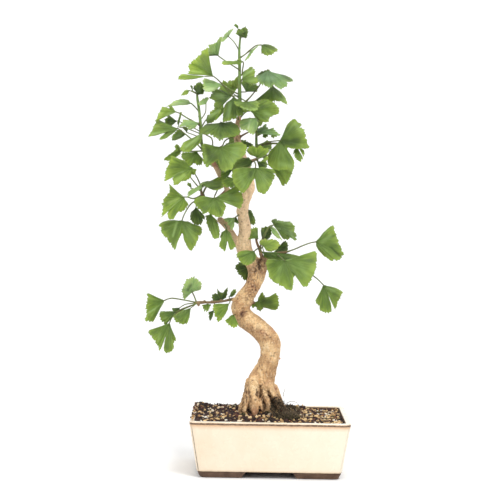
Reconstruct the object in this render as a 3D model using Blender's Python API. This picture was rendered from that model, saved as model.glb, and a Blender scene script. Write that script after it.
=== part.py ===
"""A ginkgo bonsai in its glazed pot, modelled piece by piece at real size.

Frame: +Z up, +X to the right of the front view, +Y away from the viewer.
The model stands on z = 0 with its bounding box centred on the Z axis.
Sizes below are in millimetres and become metres in build().
"""
import math

import bmesh
import bpy
import numpy as np
from mathutils import Vector
from mathutils.bvhtree import BVHTree

# ------------------------------------------------------- driving dimensions, mm
POT_LENGTH, POT_WIDTH, POT_HEIGHT = 200.0, 150.0, 71.0   # at the rim
BASE_LENGTH, BASE_WIDTH = 180.0, 130.0                   # glazed wall's foot
FOOT_HEIGHT, FOOT_TAPER = 8.0, 3.5
RIM_THICK, FLOOR_THICK, CORNER_R = 6.5, 7.0, 7.0
FOOT_BAND = 14.0                                         # width of the foot ring
ARCH_FRONT = (59.0, 69.0)                                # cut-out top, bottom
ARCH_SIDE = (42.0, 52.0)
DRAIN_X, DRAIN_R = 45.0, 7.0
SCREEN_SIDE, SCREEN_THICK = 27.0, 1.2
SOIL_GAP, SOIL_HEAP = 0.5, 6.0
BALL_TOP, BALL_FOOT, BALL_DEEP = (39.0, 36.0), (30.0, 27.0), 27.0   # root ball
TRUNK_X, TRUNK_Y = -9.0, 2.0                             # middle of the root ball
LEAF_THICK, STALK_R = 1.0, 0.85
GAP = 0.4

# ---------------------------------------------------------------- front sheet
# Every place on the tree is drafted on one front sheet: u runs to the right
# and v runs down, in sheet units, and y is the depth in millimetres behind
# (+) or in front of (-) the middle of the pot.  The sheet is seen from one
# viewing point 1.68 m in front of the pot, so a place is the point where the
# line of sight through (u, v) crosses the plane of depth y.
VIEW_X, VIEW_Y, VIEW_Z = -28.6, -1676.8, 334.7      # viewing point, mm
VIEW_DOWN = math.radians(1.861)                     # looks down by
VIEW_ROLL = math.radians(0.993)                     # right side lower by
SHEET_FOCUS, SHEET_MID = 1314.0, 250.0              # sheet units


def at(u, v, y):
    """The point (mm) seen at (u, v) on the front sheet at depth y."""
    a, b = u - SHEET_MID, v - SHEET_MID
    cr, sr = math.cos(VIEW_ROLL), math.sin(VIEW_ROLL)
    a, b = a * cr + b * sr, b * cr - a * sr
    cd, sd = math.cos(VIEW_DOWN), math.sin(VIEW_DOWN)
    dx, dy, dz = a, SHEET_FOCUS * cd - b * sd, -SHEET_FOCUS * sd - b * cd
    k = (y - VIEW_Y) / dy
    return np.array((VIEW_X + k * dx, y, VIEW_Z + k * dz))


def smooth(points, per=6):
    """A smooth curve through points of any dimension, per steps a span."""
    p = np.array(points, float)
    if len(p) < 3:
        return p
    q = np.vstack((2 * p[0] - p[1], p, 2 * p[-1] - p[-2]))
    out = []
    for i in range(1, len(q) - 2):
        for j in range(per):
            t = j / per
            out.append(0.5 * (2 * q[i] + (q[i + 1] - q[i - 1]) * t
                              + (2 * q[i - 1] - 5 * q[i] + 4 * q[i + 1] - q[i + 2]) * t * t
                              + (3 * q[i] - q[i - 1] - 3 * q[i + 1] + q[i + 2]) * t ** 3))
    out.append(p[-1])
    return np.array(out)
# ------------------------------------------------------------- trunk and limbs
# u, v, depth y, radius in sheet units (one unit is 1.276 mm at the trunk)
UNIT = 1.276
TRUNK = [
    (262.0, 416, 2, 22.0), (262.0, 409, 2, 19.5), (261.8, 398, 2, 17.3), (261.5, 390, 2, 15.6),
    (261.2, 383, 1, 13.8), (263.0, 376, 0, 11.9), (266.4, 368, -2, 10.5),
    (269.0, 360, -4, 10.2), (270.4, 352, -6, 10.1), (270.2, 344, -7, 10.3),
    (266.8, 336.6, -7, 10.3), (259.3, 329, -5, 10.4), (249.8, 321.6, -1, 9.9),
    (243.2, 315, 3, 9.5), (240.5, 307.5, 6, 9.5), (243.4, 299.6, 9, 9.3),
    (249.0, 291.8, 11, 8.3), (253.7, 283.5, 12, 7.7), (256.6, 274, 12, 7.8),
    (254.8, 265, 10, 7.9), (248.5, 257, 7, 7.6), (244.0, 248.5, 4, 7.2),
    (244.3, 240, 1, 6.5), (245.0, 230, -2, 6.0), (244.4, 222, -4, 5.5),
    (243.0, 215, -6, 5.2), (242.3, 209, -7, 5.8), (244.5, 202, -8, 5.2),
    (247.2, 195, -8, 5.0), (249.8, 187, -7, 4.9), (249.0, 178, -5, 4.6),
    (246.2, 168, -3, 4.4), (243.0, 158, -1, 4.1), (240.3, 150, 0, 3.8),
    (237.6, 141, 0, 3.5), (237.0, 132, 0, 3.1), (238.0, 123, 0, 2.6),
    (239.2, 117, 0, 2.1),
]
# woody limbs and twigs that grow from the trunk: each starts inside the wood
LIMBS = {
    "left_stub": [(243, 250, 4, 3.2), (236, 241.5, 1, 3.1), (230, 231, -2, 2.9),
                  (225, 224.5, -4, 2.8), (219.3, 219.3, -6, 2.7)],
    "left_limb": [(244, 205, -7, 3.4), (236, 198.5, -9, 3.0), (228, 190, -11, 2.7),
                  (221.5, 179, -13, 2.5), (217.5, 170, -14, 2.5), (213.5, 163, -15, 2.4),
                  (209.5, 158.5, -16, 1.9)],
    "spur": [(227, 189.5, -11, 1.9), (218, 194.5, -14, 1.6), (210, 196, -17, 1.5),
             (203, 194.3, -19, 1.7), (201, 189, -20, 1.2)],
    "fork": [(257, 271, 12, 4.0), (262, 263.5, 9, 2.8), (261.5, 255, 6, 2.1),
             (259, 248, 3, 1.6), (256.6, 241.5, 1, 1.3), (255.2, 234.5, -1, 1.1)],
    "fork_stub": [(262, 277, 11, 3.0), (265, 268, 8, 2.3), (266.6, 259, 6, 2.1),
                  (266.8, 254.5, 5, 1.5)],
    "fork_twig": [(264, 262, 8, 1.9), (270, 255.6, 5, 1.4), (278, 253, 2, 1.3),
                  (286, 252.2, 0, 1.2)],
    "low_twig": [(240, 298, 9, 2.0), (231, 299.5, 4, 1.6), (222, 301.3, -1, 1.4),
                 (212, 302.3, -6, 1.3), (204, 302.3, -10, 1.4), (197, 302.8, -13, 1.9)],
    "top_twig": [(238, 139, 0, 1.6), (241.5, 136, -2, 1.2), (246, 133.4, -5, 1.0),
                 (249.3, 131.8, -7, 0.9)],
    "back_spur": [(249, 300, 12, 2.6), (253, 302.5, 22, 1.7), (255.5, 303.5, 27, 1.2)],
    "right_spur": [(247, 163, 0, 2.4), (253, 160.5, 3, 1.8), (257, 158.6, 5, 1.5)],
}
# green shoots of this year
STEMS = {
    "stem_leader": [(239.6, 114.6, 0, 1.55), (240, 107, -1, 1.45), (240, 100, -2, 1.35),
                    (239.5, 85, -3, 1.25), (239.5, 74, -2, 1.2), (239.5, 62, 0, 1.1),
                    (239.3, 50, 2, 0.95), (240.2, 38, 2, 0.7)],
    "stem_left": [(207.9, 156.4, -16.5, 1.3), (204.0, 151, -18, 1.25), (201.3, 141, -20, 1.2),
                  (200.6, 126, -22, 1.15), (199.3, 112, -22, 1.05), (197.6, 100, -21, 0.95),
                  (196.9, 92.5, -20, 0.7)],
    "stem_right": [(257.3, 156.2, 6, 1.2), (256.4, 146, 8, 1.1), (256.5, 133, 10, 1.0),
                   (257.3, 121, 11, 0.9), (257.6, 112.5, 10, 0.75)],
}
# surface roots: from the flare outwards, each with its direction round the
# trunk (degrees, 0 = right, 90 = back), reach (mm) and girth (mm)
ROOTS = [(-160, 31, 8.0), (-118, 30, 8.5), (-70, 30, 6.5), (-38, 33, 6.5),
         (2, 31, 7.5), (48, 30, 7.0), (100, 31, 8.0), (150, 31, 7.5)]
# --------------------------------------------------------------------- leaves
# One row a leaf: name, J = where stalk meets blade (u, v), depth of J (mm),
# tilt = how the depth grows to the right and upwards (mm per mm), cup = how
# far the side lobes bend back (mm), the margin from one corner to the other,
# and the stalk from J to the wood or shoot that carries it.
LEAVES = [
 ("leaf_top_01", (240.7, 37.6), -1, (0.2, 0.3), 4, [(235.5, 33.5), (238, 29.5), (241, 29), (244, 27.6), (248, 30), (247.5, 34), (246, 38)], [], "stem_leader"),
 ("leaf_top_02", (213, 76), -12, (0.25, 0.35), 6, [(207.8, 47.5), (202, 51), (200, 54.5), (195, 59), (190, 63), (188.2, 67.5), (190, 70), (187.6, 73.6), (193, 75)], [(217, 79), (221, 83), (229, 92), (239.8, 103.5)], "stem_leader"),
 ("leaf_top_03", (218.5, 56), 19, (0.3, -0.5), 4, [(222.5, 36.3), (220, 37.5), (217.5, 40.5), (215, 43), (212, 44.3), (209.5, 44.3), (208.2, 48), (208, 52), (209, 56.2)], [(224, 60), (231, 64.6), (239.5, 70)], "stem_leader"),
 ("leaf_top_04", (261.4, 45), 6, (0.2, 0.9), 4, [(264, 43.8), (269, 44.5), (273, 46), (278, 50), (274, 53), (270, 55.3), (266, 55.2), (262, 54), (261, 50)], [(256, 45.6), (250, 50), (245, 54.5), (239.5, 58)], "stem_leader"),
 ("leaf_top_05", (241.5, 80), -10, (-0.4, 0.9), 4, [(243, 72), (248, 68.6), (250.3, 66.8), (252.8, 67.5), (255.3, 71), (254.6, 76.5), (257.5, 78), (256.8, 83.5), (252, 84), (246.5, 83)], [(240, 86)], "stem_leader"),
 ("leaf_top_06", (267, 70.5), 16, (0, 1.5), 5, [(256, 76.5), (258, 82), (262, 84.5), (265, 86), (271, 87.5), (273.5, 84.3), (276, 86.5), (281, 89), (284, 87.5), (287, 85.5), (288, 82.3), (293.5, 80.7), (290, 77.5), (285, 75)], [(263.5, 78), (260, 84.5), (257, 89), (252, 95), (247, 101), (240.2, 109)], "stem_leader"),
 ("leaf_top_07", (272.5, 85.5), 26, (0, 0.9), 6, [(251.8, 103.2), (257, 105), (264, 104.5), (270, 103.5), (274, 101.3), (280, 101.5), (284, 103), (287.2, 104.5), (286, 99), (283.8, 95.5), (280, 91)], [(269, 94), (263, 104), (257.6, 113)], "stem_right"),
 ("leaf_top_08", (250.5, 111), -10, (-0.25, 0.35), 7, [(257.5, 100.8), (265, 98.8), (270, 100.6), (274, 102.8), (277.3, 106), (279.7, 111.5), (277, 114.3), (270, 117.2), (269.3, 120), (267, 122.2), (262, 122.3), (258, 120.3), (254.5, 116.8)], [(246, 112), (240.3, 117.5)], "wood"),
 ("leaf_core_01", (246, 101.5), -30, (0, 1.5), 4, [(233.5, 101.3), (236, 105), (241, 107.5), (244, 109.5), (250, 110.8), (256, 110.3), (259, 107), (259.2, 103), (256.3, 100.3)], [(243, 99.6), (240.2, 98.3)], "stem_leader"),
 ("leaf_core_02", (222, 84.5), -18, (0.4, 0.8), 3, [(214, 80.8), (208, 79.3), (204, 78.2), (203, 82), (202.8, 86), (203.5, 89.3), (207, 91.8), (212, 91.6), (217, 89.5)], [(225.5, 87), (232, 91), (239.6, 94.5)], "stem_leader"),
 ("leaf_core_03", (232.8, 88.8), 12, (0, -0.5), 3, [(220.5, 84.7), (223, 80.3), (227, 82.3), (231, 84.3), (233, 81.3), (238, 76.3), (239, 84), (238.3, 88.8)], [(233, 93), (239.6, 98.5)], "stem_leader"),
 ("leaf_core_04", (232, 96), -12, (0.2, 1.0), 3, [(226, 92.2), (222, 90.3), (216, 89), (213.3, 91), (211.3, 94), (210, 98.3), (214, 100.3), (217.5, 104), (219, 108), (222.3, 105), (223, 101.2), (228, 99.3)], [(235, 99), (239.9, 107)], "stem_leader"),
 ("leaf_core_05", (205.5, 120.5), -24, (-0.5, 0.9), 3, [(207.3, 115), (213, 113), (218, 108.8), (221.8, 105.3), (221.3, 110), (219, 113.7), (215.5, 119), (213, 122.3), (207, 123.7)], [(203, 124.5), (200.7, 129)], "stem_left"),
 ("leaf_core_06", (233.5, 97), -18, (0, 0.5), 3, [(226.3, 102.5), (224, 107), (223.3, 112), (222.8, 117), (223.3, 122.2), (229, 120.7), (234, 119.2), (238, 117.2), (243, 114.6), (248, 110.3), (246, 106), (242, 102.8), (238, 99)], [(236.5, 108), (238.4, 120)], "wood"),
 ("leaf_core_07", (221, 122.3), -18, (0, 1.35), 4, [(206.5, 123.8), (203, 126.8), (200, 130), (202, 134.3), (208, 134.3), (213, 136.2), (217, 138.2), (219, 140.3), (222, 140.3), (225, 138.2), (230, 137.2), (236, 136.3), (239.3, 134), (240.2, 130), (238.3, 126.5), (235, 123.5), (231, 121.3)], [(227, 125.5), (236.5, 131)], "wood"),
 ("leaf_core_08", (256.2, 118), -22, (-0.3, 0.8), 3, [(247, 118.2), (241, 119.5), (239.3, 124), (240.3, 128.2), (244, 130.2), (247.8, 130.3), (249, 133.2), (253, 134.3), (255.6, 132.3), (257.2, 128), (258.5, 123)], [(257.3, 123)], "stem_right"),
 ("leaf_left_01", (198, 95), -25, (0.2, 0.4), 3, [(193, 88.5), (195.3, 84.5), (200, 81.8), (203.5, 85.3), (204.7, 90), (203.2, 94.3)], [], "stem_left"),
 ("leaf_left_02", (191.5, 103.5), -8, (0.4, 1.6), 3, [(189, 100.3), (185, 99), (180, 99), (176, 100.3), (171, 103.3), (167, 106.7), (173, 104.3), (175.3, 102.7), (179, 104.3), (181.3, 105.3), (187, 105)], [(195, 107), (199.3, 112)], "stem_left"),
 ("leaf_left_03", (176, 112), -35, (0.2, 0.7), 3, [(174, 108.7), (171, 105.2), (168.5, 105.2), (169.3, 108.8), (164.3, 106.5), (161.8, 108), (158.8, 113), (156.8, 118), (155.3, 121.3), (158.7, 119.5), (161, 115.3), (165, 113.2), (171, 112.5)], [(180, 113.5), (188, 118.5), (193, 121), (200.6, 126)], "stem_left"),
 ("leaf_left_04", (178, 128.5), -44, (0.1, 0.9), 4, [(158, 119.3), (155.3, 123), (152.8, 128), (151.8, 131), (148.3, 136.3), (155, 135.6), (163, 133.3), (165.5, 132.3), (162, 135.6), (159.3, 139.5), (165, 138.8), (169, 136.2), (175, 132)], [(184, 133), (190, 138), (196, 143), (204.6, 152.3)], "stem_left"),
 ("leaf_left_05", (185.3, 134.3), -4, (0.3, -0.6), 3, [(181.5, 129.5), (178, 129.8), (175, 132.3), (172, 137), (172.2, 140.6), (177, 140), (181, 138), (184.3, 136)], [(190, 138), (196, 141.3), (201.9, 144)], "stem_left"),
 ("leaf_left_06", (199, 123), -34, (0.3, 1.0), 3, [(194, 121), (189, 120), (183.3, 119.8), (181.8, 123), (179, 126.8), (184, 125.8), (188, 128.8), (192, 129.5), (196, 127.2)], [(200.3, 128)], "stem_left"),
 ("leaf_left_07", (203, 133), -54, (0.2, 0.8), 4, [(200, 138), (195, 139.2), (190, 139.8), (184.3, 141.8), (181.8, 145.3), (180, 149.8), (184, 151.8), (188, 152.3), (192, 150.3), (196, 146.8), (199.7, 143.2), (202.3, 138.3)], [(207, 135.4), (212, 139), (212, 148), (206.5, 154)], "stem_left"),
 ("leaf_flank_01", (181, 151), -4, (0.4, 0.4), 3, [(180.2, 147.3), (177.5, 144.2), (175, 144.8), (174.8, 150), (170, 153.8), (166, 156.8), (163.8, 159.8), (169, 160.8), (176, 157.3), (180.7, 153.8)], [(188, 151.5), (196, 151.2), (204, 151)], "stem_left"),
 ("leaf_flank_02", (192, 168), -46, (0.1, 0.45), 4, [(186, 161), (182, 159.8), (176, 157.3), (171.8, 155.8), (169.8, 160), (168.3, 165), (165.8, 170), (164.8, 175), (164.8, 181.3), (170, 176.8), (177, 173), (173.3, 177), (172.8, 181), (174.3, 184.8), (178, 184.5), (181, 181.8), (187, 180.3), (190.3, 177.8), (192.3, 174.8), (195.3, 174.3), (196.5, 169)], [(195, 174), (198, 179.5), (201, 187)], "wood"),
 ("leaf_flank_03", (202.5, 185), -34, (0, 1.6), 3, [(206, 181), (212, 180.5), (218, 177.3), (222.7, 181.3), (223.7, 185), (221.2, 188.8), (215, 190.3), (210, 188.8), (206, 187)], [(201.3, 190)], "wood"),
 ("leaf_flank_04", (184, 197), -36, (0, 0.35), 4, [(179, 195), (173, 188.8), (169, 183.7), (169.8, 190), (167.8, 194), (165.3, 197), (163.2, 200), (161.8, 205), (162.8, 209), (161.3, 217.3), (166, 211.5), (170.3, 207), (174.3, 203.3), (169, 210), (167.3, 214), (168.8, 218.8), (173, 219.3), (176.2, 214.7), (178.2, 212.2), (184, 210.8), (188.3, 204.7), (186, 200.8)], [(188, 197.2), (194, 198.5), (203, 194.5)], "wood"),
 ("leaf_front_01", (220, 147), -40, (0, 0.5), 5, [(212, 145), (203, 143.8), (201.8, 150), (202.8, 157), (203.2, 162), (207, 167.3), (210, 164.8), (213, 162.8), (217.5, 160.5), (219.3, 166), (221, 169.7), (224, 171.8), (228, 170.3), (232, 169.3), (233.6, 166), (236.2, 161.3), (241.2, 158.2), (244.3, 155.2), (246.7, 150), (246.7, 145), (240, 142), (233, 142.7), (228, 144.3)], [(222.5, 145.5), (226, 140), (237, 135)], "wood"),
 ("leaf_front_02", (252.8, 161.6), -16, (0, -0.5), 3, [(249, 157.3), (244, 157.8), (238, 159.3), (234.3, 162), (234.8, 167.2), (240, 168.3), (247, 167.8), (251.5, 166.3)], [(250.5, 162)], "wood"),
 ("leaf_front_03", (255.5, 168), -52, (0, 0.35), 4, [(250, 168.1), (245, 167.3), (236, 168.3), (232.3, 171), (231.8, 176), (232.8, 181), (234.8, 185.2), (237.8, 188.2), (242, 193.3), (245.2, 191.7), (248.7, 187.2), (254.4, 179), (256, 185.2), (257.4, 190.7), (260, 192.6), (264, 194), (268.3, 190.2), (272.3, 182.2), (275.6, 174), (273.7, 169.8), (268, 168.4), (262, 167.1)], [(255.6, 164.5), (254, 160.6)], "wood"),
 ("leaf_front_04", (215, 198), -42, (0, 0.4), 4, [(225, 195.3), (229, 191.3), (235, 186.3), (238, 185.8), (240.3, 190), (242.3, 195), (243.3, 200), (240.3, 208.6), (235, 205.3), (231, 202.7), (225.5, 201.5), (225.7, 207), (222.2, 216.3), (218, 217.3), (211, 214.3), (208, 212.3), (204, 213.8), (200.8, 210.7), (195.8, 206.2), (194.2, 202), (195.8, 198), (203, 195.8)], [(214.5, 196.5), (217.8, 189), (221, 180)], "wood"),
 ("leaf_right_01", (280, 140.5), 6, (0, 0.2), 5, [(284.8, 131), (286.8, 125), (290.3, 121.2), (294, 118.7), (297.2, 121.3), (301.2, 124.3), (301.7, 127.4), (304.2, 129.8), (305.2, 134), (306.8, 138.5), (307.3, 143), (309.3, 147.6), (305, 148.8), (295, 149), (287.3, 148.4), (290.2, 154), (293.7, 160), (294.3, 165), (292.2, 171.8), (287, 169.8), (277, 170.3), (270.8, 167.7), (267.8, 163), (267.3, 158), (269.8, 151.3), (275, 147.2)], [(272, 141.3), (265, 142.6), (256.4, 146)], "stem_right"),
 ("leaf_right_02", (271, 154), 28, (0.1, 0.2), 3, [(268.5, 163), (274, 171), (276, 175.2), (279, 179.2), (283, 186), (288.2, 181.9), (290.6, 176.9), (292.2, 171.6), (289, 164)], [(264, 156.5), (257.5, 158.5)], "wood"),
 ("leaf_right_03", (257.5, 133.5), -4, (-0.2, 1.2), 3, [(256.7, 129.3), (262, 126.7), (265.5, 124.2), (269, 128.8), (273.5, 127.7), (275.2, 130.8), (278.2, 132.8), (280.3, 135.5), (274, 135.2), (271, 133.7), (264, 133.2)], [(256.6, 137)], "stem_right"),
 ("leaf_right_04", (256.7, 157.5), -26, (0, -0.3), 3, [(250, 155), (246.8, 151), (248.8, 146.8), (253, 145.2), (256.5, 148), (259, 145.7), (262, 146.3), (265, 148.3), (268.2, 147.8), (269, 151), (267.2, 154.2), (262, 157.3)], [(257.6, 159.3)], "wood"),
 ("leaf_waist_01", (182, 220.5), -28, (0, 0.3), 4, [(174, 219.8), (166, 220.7), (159.2, 224.3), (160.8, 229), (162.3, 234), (166.3, 238.2), (170.8, 244.2), (175, 250), (177.7, 242), (182.3, 233.5), (184, 240), (188, 248.2), (191, 250.6), (195.2, 245.7), (197.7, 240), (200.3, 235), (202.3, 231), (200.2, 226.3), (195, 224.7), (188, 221.2)], [(184.5, 214), (190, 205), (196.5, 200.3), (207, 196.6)], "wood"),
 ("leaf_waist_02", (210.5, 213.5), -24, (0, 0.2), 2, [(205.3, 215.5), (206.3, 222), (208.3, 228), (211.8, 235), (213.8, 238.8), (217.7, 238.3), (219.8, 235), (219.2, 228), (217, 220)], [(207, 206), (204, 195.5)], "wood"),
 ("leaf_limb_01", (226.5, 229), -24, (0, 0.3), 3, [(221.8, 232), (220.3, 236), (220.8, 241), (219, 245.6), (225, 250.6), (227.5, 240.5), (229, 247.7), (231.5, 249.8), (235.6, 246.2), (233.2, 240.5), (230.8, 233)], [(225.5, 226), (223.5, 223.3)], "wood"),
 ("leaf_limb_02", (254.5, 251), -24, (0.2, 0.5), 3, [(250, 250.7), (244, 250.4), (238, 252.3), (236.7, 255), (238.1, 259), (241, 262.5), (245, 265.6), (249, 264.8), (252, 263.3), (255.2, 260.2), (256.5, 255)], [(257, 249), (259.2, 248.4)], "wood"),
 ("leaf_fork_01", (263, 246), -18, (-0.2, 0.6), 3, [(259.3, 243.7), (260.3, 240), (265, 239), (270, 239), (275, 239.7), (279.6, 243), (278.7, 247.2), (275, 250.6), (270, 251.6), (266, 250.6)], [(261, 249), (260.2, 252)], "wood"),
 ("leaf_fork_02", (273.5, 225), 8, (0.1, 0.7), 3, [(271, 220.8), (274, 218.8), (278, 219.8), (284, 221.3), (290, 221.7), (294.3, 225.8), (294.8, 231), (297, 237), (295.2, 240.6), (291, 238.2), (287, 239.6), (283, 238.8), (281.3, 235.5), (283, 231), (278, 228.5)], [(269.5, 226.3), (265.5, 232), (261, 243), (260.4, 250.5)], "wood"),
 ("leaf_fork_03", (315.5, 241.8), -6, (0, 0.25), 5, [(320.8, 236), (324, 231.8), (332.6, 225.3), (334.7, 231), (337.7, 239), (340.7, 247), (343.6, 253), (342.2, 256.9), (337, 261), (335, 258.8), (332, 261.3), (327, 258), (323, 255.3), (317.8, 249.2), (315.8, 245)], [(310, 243), (303, 245.5), (295, 249), (286, 252.2)], "wood"),
 ("leaf_fork_04", (284.5, 260.5), -34, (0, 0.3), 4, [(275, 259.5), (267, 259.8), (266.8, 268), (269.8, 278), (275.8, 283.2), (279, 285), (284, 287.3), (287, 289.6), (292.2, 289.3), (294.4, 275.5), (298.2, 280), (304.6, 287.6), (309.2, 283.2), (312.3, 277.2), (315.8, 269), (316.8, 261), (315.7, 251.4), (308, 253.2), (303.8, 254.3), (300, 257.2), (292, 260)], [(281, 257.5), (276.5, 254)], "wood"),
 ("leaf_fork_05", (323.5, 285), 14, (0, 0.2), 3, [(320.8, 290), (319.8, 295), (316.8, 298.5), (315.4, 301.5), (319.3, 306.2), (319.8, 309.5), (323, 312), (328.5, 313), (331.6, 310.7), (330.7, 303), (328.6, 296), (331.8, 300), (334.2, 305), (335.8, 310.8), (336.8, 305), (338.6, 300.5), (342, 294), (341.9, 291.3), (336, 288), (330, 286.2)], [(318, 279.5), (313, 275.5), (303, 267), (291, 258), (284.5, 252.8)], "wood"),
 ("leaf_fork_06", (250, 267), 26, (0.2, 0.3), 2, [(246, 262.5), (240, 262.2), (236.2, 265), (235.3, 268.5), (239.8, 275.2), (245.4, 280.8), (249.5, 281), (252, 277)], [(256, 268), (262, 270)], "wood"),
 ("leaf_low_01", (164.5, 300.5), 0, (0.1, 0.4), 3, [(159, 298), (156, 296.7), (147.8, 293.2), (147.5, 298), (146.3, 304), (146, 310), (146.7, 315), (144.7, 320), (151, 322), (154.5, 319.8), (157.2, 312), (160.8, 307), (163.2, 303)], [(168, 299), (173, 298.3), (184, 300), (197, 302.6)], "wood"),
 ("leaf_low_02", (192.3, 292.3), -8, (0, -0.5), 3, [(184, 300.3), (182.8, 295), (182, 290), (184.8, 282.8), (187.3, 279), (191, 277.7), (194.5, 276.4), (196.7, 278.8), (200.6, 282), (201.6, 286), (200.2, 289.7), (196.7, 291)], [(194.3, 296.5), (196.2, 301.8)], "wood"),
 ("leaf_low_03", (190.7, 308), -28, (0, 0.3), 3, [(182, 310.2), (176.8, 313.5), (173.4, 317), (175.8, 321.5), (181, 323.8), (184.5, 324.3), (187.8, 322.2), (190, 315)], [(194, 305.5), (197, 303)], "wood"),
 ("leaf_low_04", (169.5, 323), -24, (0, 0.3), 4, [(166, 325.8), (160, 327), (154, 328.7), (148.2, 331.3), (153.2, 339), (157.8, 346.2), (159.5, 350.8), (163, 344), (165.6, 336.3), (164.2, 344), (163.8, 350.2), (166, 352.6), (170, 352.3), (174, 347.8), (173.3, 344), (176, 339), (172.8, 333)], [(172, 317.5), (178, 312), (185, 308.5), (197, 303.2)], "wood"),
 ("leaf_low_05", (229, 303.7), -22, (0, 0.3), 3, [(219, 303.4), (213.2, 304.8), (213.4, 310), (215.5, 317), (218.5, 321.6), (223.2, 317.7), (227.8, 309.7)], [(230, 301.5), (229.5, 299.8)], "wood"),
 ("leaf_low_06", (256.5, 304), 30, (0, 0.2), 3, [(258, 298), (262, 292.4), (265.5, 296.3), (269, 296.7), (273, 294.7), (276.5, 293.2), (278.8, 301), (277.8, 308.5), (273, 310), (265, 308), (260, 310.8), (256.5, 309.3)], [(255.5, 303.6)], "wood"),
]
# A leaf is drafted flat on the front sheet and given depth by its tilt, its
# cup and a slight bow, so its outline on the sheet never changes.
BOW = 2.0


def corners_kept(margin, count):
    """The margin with its least telling points left out, down to count."""
    m = [tuple(map(float, p)) for p in margin]
    while len(m) > count:
        area = [abs((m[i][0] - m[i - 1][0]) * (m[i + 1][1] - m[i - 1][1])
                    - (m[i + 1][0] - m[i - 1][0]) * (m[i][1] - m[i - 1][1]))
                for i in range(1, len(m) - 1)]
        m.pop(1 + int(np.argmin(area)))
    return np.array(m)


def blade_point(joint, depth, tilt, cup, m, s, t, bow=BOW):
    """The point of a blade on the ray from its joint to the margin point m:
    t is the share of the way out, s the share of the way round."""
    j = at(joint[0], joint[1], depth)
    u = joint[0] + t * (m[0] - joint[0])
    v = joint[1] + t * (m[1] - joint[1])
    p = at(u, v, depth)
    y = (depth + tilt[0] * (p[0] - j[0]) + tilt[1] * (p[2] - j[2])
         + cup * t * t * (2 * s - 1) ** 2 - bow * 4 * t * (1 - t))
    return at(u, v, y)
# -------------------------------------------------------------------- materials
def material(name, colour, roughness):
    m = bpy.data.materials.new(name)
    m.use_nodes = True
    p = m.node_tree.nodes["Principled BSDF"]
    p.inputs["Base Color"].default_value = (*colour, 1.0)
    p.inputs["Roughness"].default_value = roughness
    p.inputs["Metallic"].default_value = 0.0
    return m


def body(name, verts, faces, mat, helper=False):
    """A mesh object from points in millimetres, its faces turned outwards."""
    mesh = bpy.data.meshes.new(name)
    mesh.from_pydata([tuple(float(c) / 1000 for c in v) for v in verts], [], faces)
    bm = bmesh.new()
    bm.from_mesh(mesh)
    bmesh.ops.recalc_face_normals(bm, faces=bm.faces)
    # the enclosed volume, measured from the middle of the shape
    mid = np.mean(np.array(verts, float), axis=0)
    volume = 0.0
    for f in bm.faces:
        corners = [np.array(v.co, float) * 1000 - mid for v in f.verts]
        for p, q in zip(corners[1:-1], corners[2:]):
            volume += np.dot(corners[0], np.cross(p, q))
    if volume < 0:
        bmesh.ops.reverse_faces(bm, faces=bm.faces)
    bm.to_mesh(mesh)
    bm.free()
    if mat:
        mesh.materials.append(mat)
    obj = bpy.data.objects.new(name, mesh)
    bpy.context.scene.collection.objects.link(obj)
    if helper:
        obj.hide_render = True
        obj.display_type = "WIRE"
    return obj


def boolean(obj, other, operation):
    m = obj.modifiers.new(operation.title(), "BOOLEAN")
    m.operation = operation
    m.solver = "EXACT"
    m.object = other


def tree_of(verts, faces):
    return BVHTree.FromPolygons([tuple(v) for v in verts], faces)


def tree_of_object(obj):
    graph = bpy.context.evaluated_depsgraph_get()
    mesh = obj.evaluated_get(graph).to_mesh()
    verts = [tuple(v.co * 1000) for v in mesh.vertices]
    return tree_of(verts, [tuple(p.vertices) for p in mesh.polygons])


# ------------------------------------------------------------------ basic shapes
def rounded(length, width, radius, z, steps=4):
    """A rounded rectangle, anticlockwise, at height z."""
    ring = []
    for k, (sx, sy) in enumerate(((1, 1), (-1, 1), (-1, -1), (1, -1))):
        for i in range(steps + 1):
            a = math.radians(90 * k + 90 * i / steps)
            ring.append((sx * (length / 2 - radius) + radius * math.cos(a),
                         sy * (width / 2 - radius) + radius * math.sin(a), z))
    return ring


def loft(rings, close=True):
    n = len(rings[0])
    verts = [p for ring in rings for p in ring]
    faces = []
    for r in range(len(rings) - 1):
        for i in range(n):
            j = (i + 1) % n
            faces.append((r * n + i, r * n + j, (r + 1) * n + j, (r + 1) * n + i))
    if close:
        faces.append(tuple(range(n))[::-1])
        faces.append(tuple((len(rings) - 1) * n + i for i in range(n)))
    return verts, faces


def box(x0, x1, y0, y1, z0, z1):
    return loft([[(x0, y0, z0), (x1, y0, z0), (x1, y1, z0), (x0, y1, z0)],
                 [(x0, y0, z1), (x1, y0, z1), (x1, y1, z1), (x0, y1, z1)]])


def arch(top, bottom, height, reach, along):
    """A trapezium bar through the foot ring, wider at the ground."""
    z0 = -2.0
    spread = (bottom - top) / height
    low = bottom / 2 + spread
    section = [(-low, z0), (low, z0), (top / 2, height), (-top / 2, height)]
    if along == "y":
        rings = [[(a, y, z) for a, z in section] for y in (-reach, reach)]
    else:
        rings = [[(x, a, z) for a, z in section] for x in (-reach, reach)]
    return loft(rings)


def disc(x, y, r, z0, z1, sides=24):
    ring = [(x + r * math.cos(2 * math.pi * i / sides), y + r * math.sin(2 * math.pi * i / sides))
            for i in range(sides)]
    return loft([[(a, b, z0) for a, b in ring], [(a, b, z1) for a, b in ring]])


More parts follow.
